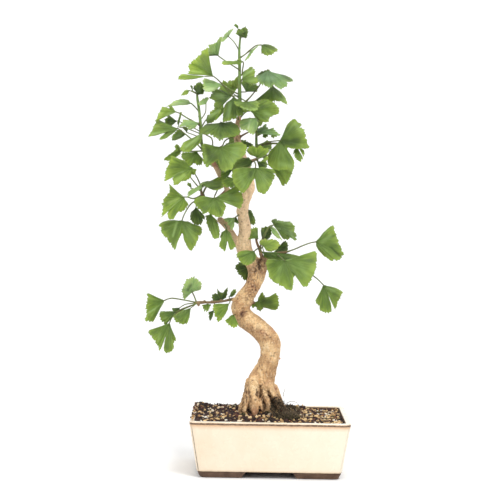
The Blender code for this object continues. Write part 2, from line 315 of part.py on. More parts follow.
def tube(path, sides=8, uneven=0.0, turn=0.0):
    """A closed tube through rows of x, y, z, radius."""
    path = np.array(path, float)
    centre, radius = path[:, :3], path[:, 3]
    tangent = np.gradient(centre, axis=0)
    tangent /= np.linalg.norm(tangent, axis=1)[:, None]
    side = np.cross(tangent[0], (0.0, 1.0, 0.0))
    if np.linalg.norm(side) < 0.3:
        side = np.cross(tangent[0], (1.0, 0.0, 0.0))
    side /= np.linalg.norm(side)
    rings = []
    for i, (c, t, r) in enumerate(zip(centre, tangent, radius)):
        side = side - t * np.dot(side, t)
        side /= np.linalg.norm(side)
        other = np.cross(t, side)
        ring = []
        for k in range(sides):
            a = 2 * math.pi * k / sides + turn
            rr = r * (1 + uneven * math.sin(2 * a + 0.45 * i) + 0.6 * uneven * math.sin(3 * a - 0.31 * i))
            ring.append(tuple(c + rr * (math.cos(a) * side + math.sin(a) * other)))
        rings.append(ring)
    return loft(rings)


def sheet_path(rows, per):
    """Rows of u, v, depth, radius in sheet units as x, y, z, radius in mm."""
    return [(*at(u, v, y), r * UNIT) for u, v, y, r in smooth(rows, per)]


# -------------------------------------------------------------------------- pot
def make_pot(mat):
    def size_at(z):
        k = (z - FOOT_HEIGHT) / (POT_HEIGHT - FOOT_HEIGHT)
        return (BASE_LENGTH + k * (POT_LENGTH - BASE_LENGTH),
                BASE_WIDTH + k * (POT_WIDTH - BASE_WIDTH))

    rings = [rounded(BASE_LENGTH - 2 * FOOT_TAPER, BASE_WIDTH - 2 * FOOT_TAPER, CORNER_R, 0),
             rounded(BASE_LENGTH - 1.6, BASE_WIDTH - 1.6, CORNER_R, FOOT_HEIGHT - 2.2),
             rounded(BASE_LENGTH - 1.6, BASE_WIDTH - 1.6, CORNER_R, FOOT_HEIGHT - 0.6),
             rounded(BASE_LENGTH, BASE_WIDTH, CORNER_R, FOOT_HEIGHT),
             rounded(*size_at(POT_HEIGHT - 1.2), CORNER_R, POT_HEIGHT - 1.2),
             rounded(POT_LENGTH - 1.4, POT_WIDTH - 1.4, CORNER_R, POT_HEIGHT)]
    pot = body("pot", *loft(rings), mat)
    floor = FOOT_HEIGHT + FLOOR_THICK
    low = size_at(floor)
    hollow = [rounded(low[0] - 2 * RIM_THICK - 8, low[1] - 2 * RIM_THICK - 8, 9, floor),
              rounded(low[0] - 2 * RIM_THICK, low[1] - 2 * RIM_THICK, 8, floor + 4),
              rounded(POT_LENGTH - 2 * RIM_THICK, POT_WIDTH - 2 * RIM_THICK, 6, POT_HEIGHT),
              rounded(POT_LENGTH - 2 * RIM_THICK + 2, POT_WIDTH - 2 * RIM_THICK + 2, 6, POT_HEIGHT + 6)]
    cutters = [("cut_hollow", loft(hollow)),
               ("cut_under", loft([rounded(BASE_LENGTH - 2 * FOOT_TAPER - 2 * FOOT_BAND,
                                           BASE_WIDTH - 2 * FOOT_TAPER - 2 * FOOT_BAND, 5, z)
                                   for z in (-4, FOOT_HEIGHT - 0.5)])),
               ("cut_arch_front", arch(*ARCH_FRONT, FOOT_HEIGHT - 0.5, 90, "y")),
               ("cut_arch_side", arch(*ARCH_SIDE, FOOT_HEIGHT - 0.5, 120, "x")),
               ("cut_drain_left", disc(-DRAIN_X, 0, DRAIN_R, 2, floor + 5)),
               ("cut_drain_right", disc(DRAIN_X, 0, DRAIN_R, 2, floor + 5))]
    for name, shape in cutters:
        boolean(pot, body(name, *shape, None, helper=True), "DIFFERENCE")
    return pot


def make_screen(name, x, mat):
    """A square of plastic mesh over a drain hole: a plate with 16 openings."""
    n, z0 = 9, FOOT_HEIGHT + FLOOR_THICK + GAP
    bm = bmesh.new()
    step = SCREEN_SIDE / n / 1000
    grid = [[bm.verts.new((x / 1000 + (i - n / 2) * step, (j - n / 2) * step, z0 / 1000))
             for j in range(n + 1)] for i in range(n + 1)]
    flat = [bm.faces.new((grid[i][j], grid[i + 1][j], grid[i + 1][j + 1], grid[i][j + 1]))
            for i in range(n) for j in range(n) if not (i % 2 and j % 2)]
    raised = bmesh.ops.extrude_face_region(bm, geom=flat, use_keep_orig=True)
    for v in raised["geom"]:
        if isinstance(v, bmesh.types.BMVert):
            v.co.z += SCREEN_THICK / 1000
    bmesh.ops.recalc_face_normals(bm, faces=bm.faces)
    mesh = bpy.data.meshes.new(name)
    bm.to_mesh(mesh)
    bm.free()
    mesh.materials.append(mat)
    obj = bpy.data.objects.new(name, mesh)
    bpy.context.scene.collection.objects.link(obj)
    return obj


# ------------------------------------------------------------------------- soil
def soil_top(x, y):
    """Height of the soil: low along the walls, heaped round the trunk."""
    hx, hy = POT_LENGTH / 2 - RIM_THICK, POT_WIDTH / 2 - RIM_THICK
    edge = max(abs(x) / hx, abs(y) / hy)
    fall = 1 - min(1.0, edge) ** 4
    heap = math.exp(-(((x - TRUNK_X) / 62) ** 2 + ((y - TRUNK_Y) / 52) ** 2))
    left_back = math.exp(-(((x + 55) / 40) ** 2 + ((y - 35) / 32) ** 2))
    return POT_HEIGHT - 2.0 + fall * (1.2 + SOIL_HEAP * heap + 2.2 * left_back)


def ball_ring(grow, z, size, sides=28):
    return [(TRUNK_X + (size[0] + grow) * math.cos(2 * math.pi * i / sides),
             TRUNK_Y + (size[1] + grow) * math.sin(2 * math.pi * i / sides), z)
            for i in range(sides)]


def make_soil(mat):
    floor = FOOT_HEIGHT + FLOOR_THICK + SCREEN_THICK + 2 * GAP
    nx, ny = 18, 14
    k = (floor - FOOT_HEIGHT) / (POT_HEIGHT - FOOT_HEIGHT)
    low_x = (BASE_LENGTH + k * (POT_LENGTH - BASE_LENGTH)) / 2 - RIM_THICK - 4.6
    low_y = (BASE_WIDTH + k * (POT_WIDTH - BASE_WIDTH)) / 2 - RIM_THICK - 4.6
    top_x = POT_LENGTH / 2 - RIM_THICK - SOIL_GAP
    top_y = POT_WIDTH / 2 - RIM_THICK - SOIL_GAP
    mid = floor + 5
    k2 = (mid - FOOT_HEIGHT) / (POT_HEIGHT - FOOT_HEIGHT)
    mid_x = (BASE_LENGTH + k2 * (POT_LENGTH - BASE_LENGTH)) / 2 - RIM_THICK - SOIL_GAP - 0.4
    mid_y = (BASE_WIDTH + k2 * (POT_WIDTH - BASE_WIDTH)) / 2 - RIM_THICK - SOIL_GAP - 0.4

    def outline(hx, hy, r):
        return [(p[0], p[1]) for p in rounded(2 * hx, 2 * hy, r, 0, 4)]

    edge = outline(top_x, top_y, 6.8)
    n = len(edge)
    verts, faces = [], []
    layers = [(outline(low_x, low_y, 9), floor), (outline(mid_x, mid_y, 8.6), mid), (edge, None)]
    for ring, z in layers:
        for x, y in ring:
            verts.append((x, y, soil_top(x, y) if z is None else z))
    shares = (0.93, 0.8, 0.65, 0.5, 0.34, 0.18)
    for share in shares:
        for x, y in edge:
            px, py = x * share, y * share
            verts.append((px, py, soil_top(px, py)))
    count = len(layers) + len(shares)
    for r in range(count - 1):
        for i in range(n):
            j = (i + 1) % n
            faces.append((r * n + i, r * n + j, (r + 1) * n + j, (r + 1) * n + i))
    faces.append(tuple(range(n)))
    verts.append((0, 0, soil_top(0, 0)))
    last = len(verts) - 1
    for i in range(n):
        faces.append(((count - 1) * n + i, (count - 1) * n + (i + 1) % n, last))
    soil = body("soil", verts, faces, mat)
    top = POT_HEIGHT + 14
    pit = loft([ball_ring(GAP, POT_HEIGHT - BALL_DEEP - GAP, BALL_FOOT),
                ball_ring(GAP, POT_HEIGHT - 4, BALL_TOP), ball_ring(GAP, top, BALL_TOP)])
    boolean(soil, body("cut_root_ball", *pit, None, helper=True), "DIFFERENCE")
    return soil


def make_moss(mat):
    """A low cushion of moss on the soil at the right of the trunk."""
    cx, cy, rx, ry, sides = 25.0, -38.5, 13.0, 10.0, 14
    rings = []
    for share, rise in ((1.0, 0.0), (0.97, 1.6), (0.72, 3.2), (0.38, 4.0)):
        ring = []
        for i in range(sides):
            a = 2 * math.pi * i / sides
            wave = 1 + 0.1 * math.sin(3 * a + 1) + 0.06 * math.sin(5 * a)
            x, y = cx + rx * share * wave * math.cos(a), cy + ry * share * wave * math.sin(a)
            ring.append((x, y, soil_top(x, y) + 0.9 + rise))
        rings.append(ring)
    return body("moss_patch", *loft(rings), mat)


# ------------------------------------------------------------------------- wood
def make_trunk(mat):
    main = sheet_path(TRUNK, 1)
    # the trunk's foot runs straight down into the root ball
    first = main[0]
    main = [(first[0], first[1], POT_HEIGHT - 12, first[3])] + [p for p in main if p[2] > POT_HEIGHT - 6]
    trunk = body("trunk", *tube(main, 13, 0.035), mat)
    ball = loft([ball_ring(0, POT_HEIGHT - BALL_DEEP, BALL_FOOT),
                 ball_ring(0, POT_HEIGHT - 4.5, BALL_TOP),
                 ball_ring(-1.5, POT_HEIGHT + 3.2, BALL_TOP),
                 ball_ring(-12, POT_HEIGHT + 6.4, BALL_TOP)])
    boolean(trunk, body("join_root_ball", *ball, None, helper=True), "UNION")
    for number, (angle, reach, girth) in enumerate(ROOTS):
        a = math.radians(angle)
        rows = []
        for share, rise, thick in ((0.1, 40, 0.9), (0.36, 27, 0.95), (0.6, 15, 0.85),
                                   (0.82, 7.6, 0.6), (1.0, 3.2, 0.4)):
            wander = 4.0 * math.sin(2.1 * number + 3.3 * share) * share
            rows.append((TRUNK_X + reach * share * math.cos(a) - wander * math.sin(a),
                         TRUNK_Y + reach * share * math.sin(a) + wander * math.cos(a),
                         POT_HEIGHT + rise, girth * thick * 0.8))
        root = tube(smooth(rows, 2), 7)
        boolean(trunk, body(f"join_root_{number}", *root, None, helper=True), "UNION")
    for name, rows in LIMBS.items():
        limb = tube(sheet_path(rows, 2), 7, 0.03, 0.21)
        boolean(trunk, body(f"join_{name}", *limb, None, helper=True), "UNION")
    return trunk


# ----------------------------------------------------------------------- leaves
def outline_of(margin, joint):
    """The margin's telling corners, each further round the joint than the last."""
    corners = corners_kept(margin, 8 if len(margin) > 9 else 7)
    angle = np.unwrap(np.arctan2(corners[:, 1] - joint[1], corners[:, 0] - joint[0]))
    turn = 1 if angle[-1] > angle[0] else -1
    kept = [0]
    for i in range(1, len(corners)):
        if turn * (angle[i] - angle[kept[-1]]) > 0.08:
            kept.append(i)
    return corners[kept]


def blade(row, depth, inflate=0.0):
    """A leaf's thin blade: a lobed sheet that spreads from its joint, and the
    same sheet again a leaf's thickness behind it, closed along the margin."""
    _, joint, _, tilt, cup, margin, _, _ = row
    outline = outline_of(margin, joint)
    k = len(outline)
    half = (LEAF_THICK / 2 + inflate) * math.sqrt(1 + tilt[0] ** 2 + tilt[1] ** 2)
    j = blade_point(joint, depth, tilt, cup, outline[0], 0, 0)
    verts = []
    for side in (-half, half):
        lift = np.array((0, side, 0))
        verts.append(j + lift)
        for t in (0.55, 1.0):
            for i, m in enumerate(outline):
                p = blade_point(joint, depth, tilt, cup, m, i / (k - 1), t)
                out = (p - j) / max(1e-6, np.linalg.norm(p - j))
                verts.append(p + lift + out * inflate * (t == 1.0))
    n = 2 * k + 1
    faces = []
    for i in range(k - 1):
        # the same diagonal on both sides, so the two sheets never cross
        front = [(0, 1 + i, 2 + i), (1 + i, 1 + k + i, 2 + k + i), (1 + i, 2 + k + i, 2 + i)]
        faces += front + [tuple(c + n for c in reversed(f)) for f in front]
        faces.append((1 + k + i, n + 1 + k + i, n + 2 + k + i, 2 + k + i))
    for i in (0, k - 1):
        side = [(0, n, n + 1 + i, 1 + i), (1 + i, n + 1 + i, n + 1 + k + i, 1 + k + i)]
        faces += side if i == 0 else [tuple(reversed(f)) for f in side]
    return verts, faces


def stalk(row, depth, carrier, inflate=0.0):
    """A leaf's round stalk, from just inside the blade to just clear of the
    wood or shoot that carries it."""
    _, joint, _, _, _, _, way, _ = row
    start = at(joint[0], joint[1], depth)
    if way:
        # where the stalk meets its carrier: the nearest wood to its last point
        best = None
        for y in range(-70, 71, 2):
            spot = carrier.find_nearest(Vector(at(*way[-1], y)))
            if best is None or spot[3] < best[0]:
                best = (spot[3], y)
        end = at(*way[-1], best[1])
        uv = [joint] + list(way)
        run = np.cumsum([0] + [math.dist(uv[i], uv[i + 1]) for i in range(len(uv) - 1)])
        points = []
        for (u, v), d in zip(uv, run):
            share = d / run[-1]
            arc = share * share * (3 - 2 * share)
            points.append(at(u, v, start[1] + (end[1] - start[1]) * arc))
        points = smooth(points, 6)
    else:
        # a leaf that sits on the tip of its shoot
        spot = np.array(carrier.find_nearest(Vector(start))[0])
        points = np.array([start + (spot - start) * f for f in (0, 0.35, 0.7, 1.0)])
    clear = STALK_R + GAP + 0.18
    keep = [points[0]]
    for p, q in zip(points[:-1], points[1:]):
        steps = max(1, int(np.linalg.norm(q - p) / 0.5))
        stopped = False
        for i in range(1, steps + 1):
            w = p + (q - p) * i / steps
            near = carrier.find_nearest(Vector(w))
            if near[3] < clear or (Vector(w) - near[0]).dot(near[1]) < 0:
                stopped = True
                break
            keep.append(w)
        if stopped:
            break
    if len(keep) < 3:
        way_on = (points[1] - points[0]) / np.linalg.norm(points[1] - points[0])
        keep = [start, start + way_on * 0.4, start + way_on * 0.8]
    keep = np.array(keep)
    first = keep[min(3, len(keep) - 1)] - keep[0]
    keep[0] = start - first / np.linalg.norm(first) * 1.2
    count = 4 if np.linalg.norm(keep[-1] - keep[0]) > 25 else 3
    spine = keep[np.linspace(0, len(keep) - 1, count).round().astype(int)]
    return tube([(*p, STALK_R + inflate) for p in spine], 6)


def leaf_tree(row, depth, carrier, inflate=0.0):
    verts, faces = blade(row, depth, inflate)
    more, joins = stalk(row, depth, carrier, inflate)
    return tree_of(list(verts) + list(more),
                   faces + [tuple(c + len(verts) for c in f) for f in joins])


def clear_order(limit=33, step=3):
    """Depth changes to try, the smallest first."""
    out = [0]
    for d in range(step, limit + 1, step):
        out += [-d, d]
    return out


def make_leaves(mat, carriers, fixed):
    """Places each leaf at its own depth, or the nearest one that leaves air
    between it and everything that is already there."""
    placed = dict(fixed)
    for row in LEAVES:
        name, depth, carrier = row[0], row[2], carriers[row[7]]
        best = None
        for change in clear_order():
            grown = leaf_tree(row, depth + change, carrier, 0.3)
            hits = [other for other, tree in placed.items() if grown.overlap(tree)]
            if best is None or len(hits) < len(best[1]):
                best = (change, hits)
            if not hits:
                break
        depth += best[0]
        leaf = body(name, *blade(row, depth), mat)
        boolean(leaf, body("join_" + name, *stalk(row, depth, carrier), None, helper=True), "UNION")
        placed[name] = leaf_tree(row, depth, carrier)


# ------------------------------------------------------------------------ build
def build():
    for obj in list(bpy.data.objects):
        bpy.data.objects.remove(obj)
    bark = material("bark", (0.56, 0.39, 0.24), 0.8)
    shoot = material("shoot", (0.24, 0.33, 0.08), 0.5)
    leaf = material("leaf", (0.13, 0.28, 0.04), 0.45)
    pot = make_pot(material("glaze", (0.93, 0.84, 0.69), 0.25))
    plastic = material("screen", (0.02, 0.02, 0.02), 0.6)
    make_screen("drain_screen_left", -DRAIN_X, plastic)
    make_screen("drain_screen_right", DRAIN_X, plastic)
    soil = make_soil(material("soil", (0.1, 0.07, 0.045), 0.95))
    moss = make_moss(material("moss", (0.03, 0.05, 0.02), 0.95))
    trunk = make_trunk(bark)
    bpy.context.view_layer.update()
    fixed = {"trunk": tree_of_object(trunk), "soil": tree_of_object(soil),
             "pot": tree_of_object(pot), "moss_patch": tree_of_object(moss)}
    carriers = {"wood": fixed["trunk"]}
    for name, rows in STEMS.items():
        shape = tube(sheet_path(rows, 2), 8)
        body(name, *shape, shoot)
        fixed[name] = carriers[name] = tree_of(*shape)
    make_leaves(leaf, carriers, fixed)
    # the bounding box is centred on the Z axis
    bpy.context.view_layer.update()
    graph = bpy.context.evaluated_depsgraph_get()
    low, high = Vector((9, 9, 9)), Vector((-9, -9, -9))
    for obj in bpy.context.scene.objects:
        if obj.hide_render:
            continue
        mesh = obj.evaluated_get(graph).to_mesh()
        for v in mesh.vertices:
            low = Vector(map(min, low, v.co))
            high = Vector(map(max, high, v.co))
    shift = Vector((-(low.x + high.x) / 2, -(low.y + high.y) / 2, 0))
    for obj in bpy.context.scene.objects:
        obj.location = shift


build()
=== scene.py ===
"""The looks of a ginkgo bonsai in its glazed pot.

Frame: metres, +Z up, +X to the right of the front view, +Y away from the
viewer.  Shapes are worked out in millimetres from the middle of the pot and
moved to the frame by place().
"""
import math

import bmesh
import bpy
import numpy as np
from mathutils import Matrix, Vector
from mathutils.bvhtree import BVHTree
from mathutils.kdtree import KDTree


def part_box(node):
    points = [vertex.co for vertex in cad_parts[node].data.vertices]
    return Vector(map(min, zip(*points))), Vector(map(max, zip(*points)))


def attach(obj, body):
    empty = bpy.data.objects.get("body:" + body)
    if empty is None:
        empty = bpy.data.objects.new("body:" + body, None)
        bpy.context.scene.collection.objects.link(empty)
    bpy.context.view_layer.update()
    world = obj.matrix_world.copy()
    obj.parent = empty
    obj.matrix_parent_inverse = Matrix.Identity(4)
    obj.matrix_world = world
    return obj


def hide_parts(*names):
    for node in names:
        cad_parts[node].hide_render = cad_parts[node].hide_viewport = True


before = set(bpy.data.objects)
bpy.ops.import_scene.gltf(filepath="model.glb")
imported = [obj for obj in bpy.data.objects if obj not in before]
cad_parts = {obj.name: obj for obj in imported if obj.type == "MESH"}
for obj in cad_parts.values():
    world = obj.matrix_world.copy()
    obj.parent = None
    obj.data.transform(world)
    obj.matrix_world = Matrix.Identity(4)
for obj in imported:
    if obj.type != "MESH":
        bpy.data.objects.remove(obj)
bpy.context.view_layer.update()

POT_LOW, POT_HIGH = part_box("pot")
POT_MID = np.array(((POT_LOW.x + POT_HIGH.x) / 2, (POT_LOW.y + POT_HIGH.y) / 2, 0.0))

# sizes, mm
POT_LENGTH, POT_WIDTH, POT_HEIGHT = 200.0, 150.0, 71.0
BASE_LENGTH, BASE_WIDTH = 180.0, 130.0
FOOT_HEIGHT, FOOT_TAPER = 8.0, 3.5
RIM_THICK, FLOOR_THICK, CORNER_R = 6.5, 7.0, 7.0
FOOT_BAND = 14.0
ARCH_FRONT, ARCH_SIDE = (59.0, 69.0), (42.0, 52.0)
DRAIN_X, DRAIN_R = 45.0, 7.0
SOIL_HEAP = 6.0
TRUNK_X, TRUNK_Y = -9.0, 2.0

# ---------------------------------------------------------------- front sheet
# Every place on the tree is drafted on one front sheet: u runs to the right
# and v runs down, in sheet units, and y is the depth in millimetres behind
# (+) or in front of (-) the middle of the pot.  The sheet is seen from one
# viewing point 1.68 m in front of the pot, so a place is the point where the
# line of sight through (u, v) crosses the plane of depth y.
VIEW_X, VIEW_Y, VIEW_Z = -28.6, -1676.8, 334.7      # viewing point, mm
VIEW_DOWN = math.radians(1.861)                     # looks down by
VIEW_ROLL = math.radians(0.993)                     # right side lower by
SHEET_FOCUS, SHEET_MID = 1314.0, 250.0              # sheet units


def at(u, v, y):
    """The point (mm) seen at (u, v) on the front sheet at depth y."""
    a, b = u - SHEET_MID, v - SHEET_MID
    cr, sr = math.cos(VIEW_ROLL), math.sin(VIEW_ROLL)
    a, b = a * cr + b * sr, b * cr - a * sr
    cd, sd = math.cos(VIEW_DOWN), math.sin(VIEW_DOWN)
    dx, dy, dz = a, SHEET_FOCUS * cd - b * sd, -SHEET_FOCUS * sd - b * cd
    k = (y - VIEW_Y) / dy
    return np.array((VIEW_X + k * dx, y, VIEW_Z + k * dz))


def smooth(points, per=6):
    """A smooth curve through points of any dimension, per steps a span."""
    p = np.array(points, float)
    if len(p) < 3:
        return p
    q = np.vstack((2 * p[0] - p[1], p, 2 * p[-1] - p[-2]))
    out = []
    for i in range(1, len(q) - 2):
        for j in range(per):
            t = j / per
            out.append(0.5 * (2 * q[i] + (q[i + 1] - q[i - 1]) * t
                              + (2 * q[i - 1] - 5 * q[i] + 4 * q[i + 1] - q[i + 2]) * t * t
                              + (3 * q[i] - q[i - 1] - 3 * q[i + 1] + q[i + 2]) * t ** 3))
    out.append(p[-1])
    return np.array(out)


def seen_at(points):
    """(u, v) on the front sheet of points (n, 3) in mm."""
    q = np.asarray(points, float) - (VIEW_X, VIEW_Y, VIEW_Z)
    cd, sd = math.cos(VIEW_DOWN), math.sin(VIEW_DOWN)
    cr, sr = math.cos(VIEW_ROLL), math.sin(VIEW_ROLL)
    far = q[:, 1] * cd - q[:, 2] * sd
    up = q[:, 1] * sd + q[:, 2] * cd
    a, b = SHEET_FOCUS * q[:, 0] / far, -SHEET_FOCUS * up / far
    return np.stack((SHEET_MID + a * cr - b * sr, SHEET_MID + a * sr + b * cr), axis=1)


# ----------------------------------------------------------------- mesh helpers
def place(points):
    """Millimetres from the middle of the pot to metres in the frame."""
    return np.asarray(points, float) / 1000 + POT_MID


def srgb(r, g, b):
    """Linear colour of 0-255 display values."""
    out = []
    for c in (r, g, b):
        c /= 255
        out.append(c / 12.92 if c <= 0.04045 else ((c + 0.055) / 1.055) ** 2.4)
    return tuple(out)


def ripple(points, size, seed, count=12):
    """Smooth random height, about -1 to 1, whose bumps are size mm across."""
    rng = np.random.default_rng(seed)
    k = rng.normal(size=(count, 3))
    k *= (2 * math.pi / (2 * size) / np.linalg.norm(k, axis=1) * rng.uniform(0.6, 1.5, count))[:, None]
    phase = rng.uniform(0, 2 * math.pi, count)
    return np.sin(np.asarray(points) @ k.T + phase).sum(axis=1) / math.sqrt(count / 1.3)


def outward(verts, faces):
    """The faces, all turned round if they enclose a negative volume."""
    verts = np.asarray(verts, float)
    mid = verts.mean(axis=0)
    volume = 0.0
    for f in faces:
        p = verts[list(f)] - mid
        for i in range(1, len(f) - 1):
            volume += np.dot(p[0], np.cross(p[i], p[i + 1]))
    return faces if volume > 0 else [tuple(reversed(f)) for f in faces]


def make(name, verts, faces, materials, node=None, index=None,
         smooth=True, sharp=None, uv=None, values=None):
    """An object from points in mm, riding on the root body."""
    mesh = bpy.data.meshes.new(name)
    mesh.from_pydata([tuple(p) for p in place(verts).tolist()], [], [tuple(int(c) for c in f) for f in faces])
    for m in materials:
        mesh.materials.append(m)
    if index is not None:
        mesh.polygons.foreach_set("material_index", np.asarray(index, np.int32))
    mesh.polygons.foreach_set("use_smooth", np.full(len(mesh.polygons), smooth))
    if uv is not None:
        layer = mesh.uv_layers.new(name="UVMap")
        corner = np.empty(len(mesh.loops), np.int32)
        mesh.loops.foreach_get("vertex_index", corner)
        layer.data.foreach_set("uv", np.asarray(uv, np.float32)[corner].ravel())
    for key, value in (values or {}).items():
        mesh.attributes.new(key, "FLOAT", "POINT").data.foreach_set("value", np.asarray(value, np.float32))
    if sharp is not None:
        mesh.set_sharp_from_angle(angle=math.radians(sharp))
    mesh.update()
    obj = bpy.data.objects.new(name, mesh)
    bpy.context.scene.collection.objects.link(obj)
    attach(obj, "root")
    if node:
        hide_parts(*([node] if isinstance(node, str) else node))
    return obj


def loft(rings, close=True):
    n = len(rings[0])
    verts = [p for ring in rings for p in ring]
    faces = []
    for r in range(len(rings) - 1):
        for i in range(n):
            j = (i + 1) % n
            faces.append((r * n + i, r * n + j, (r + 1) * n + j, (r + 1) * n + i))
    if close:
        faces.append(tuple(range(n))[::-1])
        faces.append(tuple((len(rings) - 1) * n + i for i in range(n)))
    return verts, faces


def tube(path, sides=8, uneven=0.0, turn=0.0, flat=None):
    """A closed tube through rows of x, y, z, radius, with rounded ends."""
    path = np.array(path, float)
    # round the two ends off
    first, last = path[0], path[-1]
    lead = path[0, :3] - path[1, :3]
    lead /= np.linalg.norm(lead)
    tail = path[-1, :3] - path[-2, :3]
    tail /= np.linalg.norm(tail)
    path = np.vstack(([*(first[:3] + lead * first[3] * 0.55), first[3] * 0.45], path,
                      [*(last[:3] + tail * last[3] * 0.55), last[3] * 0.45]))
    centre, radius = path[:, :3], path[:, 3]
    tangent = np.gradient(centre, axis=0)
    tangent /= np.linalg.norm(tangent, axis=1)[:, None]
    side = np.cross(tangent[0], (0.0, 1.0, 0.0))
    if np.linalg.norm(side) < 0.3:
        side = np.cross(tangent[0], (1.0, 0.0, 0.0))
    side /= np.linalg.norm(side)
    rings = []
    for i, (c, t, r) in enumerate(zip(centre, tangent, radius)):
        side = side - t * np.dot(side, t)
        side /= np.linalg.norm(side)
        other = np.cross(t, side)
        ring = []
        for k in range(sides):
            a = 2 * math.pi * k / sides + turn
            rr = r * (1 + uneven * math.sin(2 * a + 0.45 * i) + 0.6 * uneven * math.sin(3 * a - 0.31 * i))
            ring.append(tuple(c + rr * (math.cos(a) * side + math.sin(a) * other)))
        rings.append(ring)
    verts, faces = loft(rings)
    return verts, outward(verts, faces)


def joined(shapes):
    """Several (verts, faces) as one, with the number of each face's shape."""
    verts, faces, which = [], [], []
    for number, (v, f) in enumerate(shapes):
        faces += [tuple(c + len(verts) for c in face) for face in f]
        verts += list(v)
        which += [number] * len(f)
    return verts, faces, which


def sheet_path(rows, per):
    return [(*at(u, v, y), r * UNIT) for u, v, y, r in smooth(rows, per)]


def mesh_points(mesh):
    """Points (n, 3) in mm from the middle of the pot, and faces, of a mesh."""
    co = np.empty(len(mesh.vertices) * 3, np.float32)
    mesh.vertices.foreach_get("co", co)
    return (co.reshape(-1, 3).astype(float) - POT_MID) * 1000, [tuple(p.vertices) for p in mesh.polygons]


def normals_of(verts, faces):
    verts = np.asarray(verts, float)
    out = np.zeros_like(verts)
    quads = {}
    for f in faces:
        quads.setdefault(len(f), []).append(f)
    for n, group in quads.items():
        g = np.array(group)
        p = verts[g]
        normal = np.cross(p[:, 1] - p[:, 0], p[:, 2] - p[:, 0]) if n == 3 else np.cross(p[:, 2] - p[:, 0], p[:, 3] - p[:, 1])
        for i in range(n):
            np.add.at(out, g[:, i], normal)
    return out / np.maximum(np.linalg.norm(out, axis=1), 1e-12)[:, None]


def line_reach(points, line):
    """Distance from each (u, v) to a polyline, and how far along it (0 to 1)."""
    line = np.asarray(line, float)
    best = np.full(len(points), 1e9)
    share = np.zeros(len(points))
    run = np.concatenate(([0], np.cumsum(np.linalg.norm(np.diff(line, axis=0), axis=1))))
    for i in range(len(line) - 1):
        d = line[i + 1] - line[i]
        t = np.clip(((points - line[i]) @ d) / max(1e-9, d @ d), 0, 1)
        gap = np.linalg.norm(points - line[i] - t[:, None] * d, axis=1)
        near = gap < best
        best[near] = gap[near]
        share[near] = (run[i] + t[near] * (run[i + 1] - run[i])) / run[-1]
    return best, share


# -------------------------------------------------------------- material helper
class Finish:
    """A procedural material, built node by node."""

    def __init__(self, name, roughness=0.5):
        self.mat = bpy.data.materials.new(name)
        self.mat.use_nodes = True
        self.tree = self.mat.node_tree
        self.shader = self.tree.nodes["Principled BSDF"]
        self.shader.inputs["Roughness"].default_value = roughness
        self.out = self.tree.nodes["Material Output"]

    def node(self, kind, inputs=None, **settings):
        n = self.tree.nodes.new("ShaderNode" + kind)
        for key, value in settings.items():
            setattr(n, key, value)
        for key, value in (inputs or {}).items():
            self.feed(n.inputs[key], value)
        return n

    def feed(self, socket, value):
        if isinstance(value, bpy.types.NodeSocket):
            self.tree.links.new(value, socket)
        elif isinstance(value, (tuple, list)) and len(value) == 3 and len(getattr(socket, "default_value", ())) == 4:
            socket.default_value = (*value, 1.0)
        else:
            socket.default_value = value

    def coords(self):
        """Object coordinates in mm."""
        place = self.node("TexCoord").outputs["Object"]
        return self.node("VectorMath", {0: place, 1: (1000.0, 1000.0, 1000.0)}, operation="MULTIPLY").outputs[0]

    def stretch(self, vector, scale):
        return self.node("VectorMath", {0: vector, 1: scale}, operation="MULTIPLY").outputs[0]

    def noise(self, vector, size, detail=3.0, rough=0.55, distort=0.0):
        """Noise with blobs about size mm across."""
        n = self.node("TexNoise", {"Vector": vector, "Scale": 1.0 / size, "Detail": detail,
                                   "Roughness": rough, "Distortion": distort})
        return n.outputs["Fac"]

    def cells(self, vector, size, feature="F1", out="Distance"):
        n = self.node("TexVoronoi", {"Vector": vector, "Scale": 1.0 / size}, feature=feature)
        return n.outputs[out]

    def math(self, op, a, b=0.0, c=0.0, clamp=False):
        return self.node("Math", {0: a, 1: b, 2: c}, operation=op, use_clamp=clamp).outputs[0]

    def remap(self, value, low, high, to_low=0.0, to_high=1.0, smooth=False):
        n = self.node("MapRange", {"Value": value, "From Min": low, "From Max": high,
                                   "To Min": to_low, "To Max": to_high}, clamp=True,
                      interpolation_type="SMOOTHSTEP" if smooth else "LINEAR")
        return n.outputs["Result"]

    def ramp(self, value, stops, mode="LINEAR"):
        n = self.node("ValToRGB", {"Fac": value})
        e = n.color_ramp.elements
        n.color_ramp.interpolation = mode
        while len(e) < len(stops):
            e.new(1.0)
        for item, (place, colour) in zip(e, stops):
            item.position = place
            item.color = (*colour, 1.0)
        return n.outputs["Color"]

    def mix(self, share, a, b, blend="MIX"):
        n = self.node("Mix", data_type="RGBA", blend_type=blend)
        self.feed(n.inputs[0], share)
        self.feed(n.inputs[6], a)
        self.feed(n.inputs[7], b)
        return n.outputs[2]

    def value(self, name):
        return self.node("Attribute", attribute_name=name).outputs["Fac"]

    def split(self, vector):
        return self.node("SeparateXYZ", {0: vector}).outputs

    def bump(self, height, depth_mm, normal=None):
        n = self.node("Bump", {"Height": height, "Distance": depth_mm / 1000.0, "Strength": 1.0})
        if normal is not None:
            self.feed(n.inputs["Normal"], normal)
        return n.outputs["Normal"]

    def set(self, **sockets):
        names = {"colour": "Base Color", "rough": "Roughness", "normal": "Normal", "coat": "Coat Weight",
                 "coat_rough": "Coat Roughness", "specular": "Specular IOR Level", "sheen": "Sheen Weight",
                 "subsurface": "Subsurface Weight", "scale": "Subsurface Scale", "radius": "Subsurface Radius"}
        for key, value in sockets.items():
            self.feed(self.shader.inputs[names[key]], value)
        return self




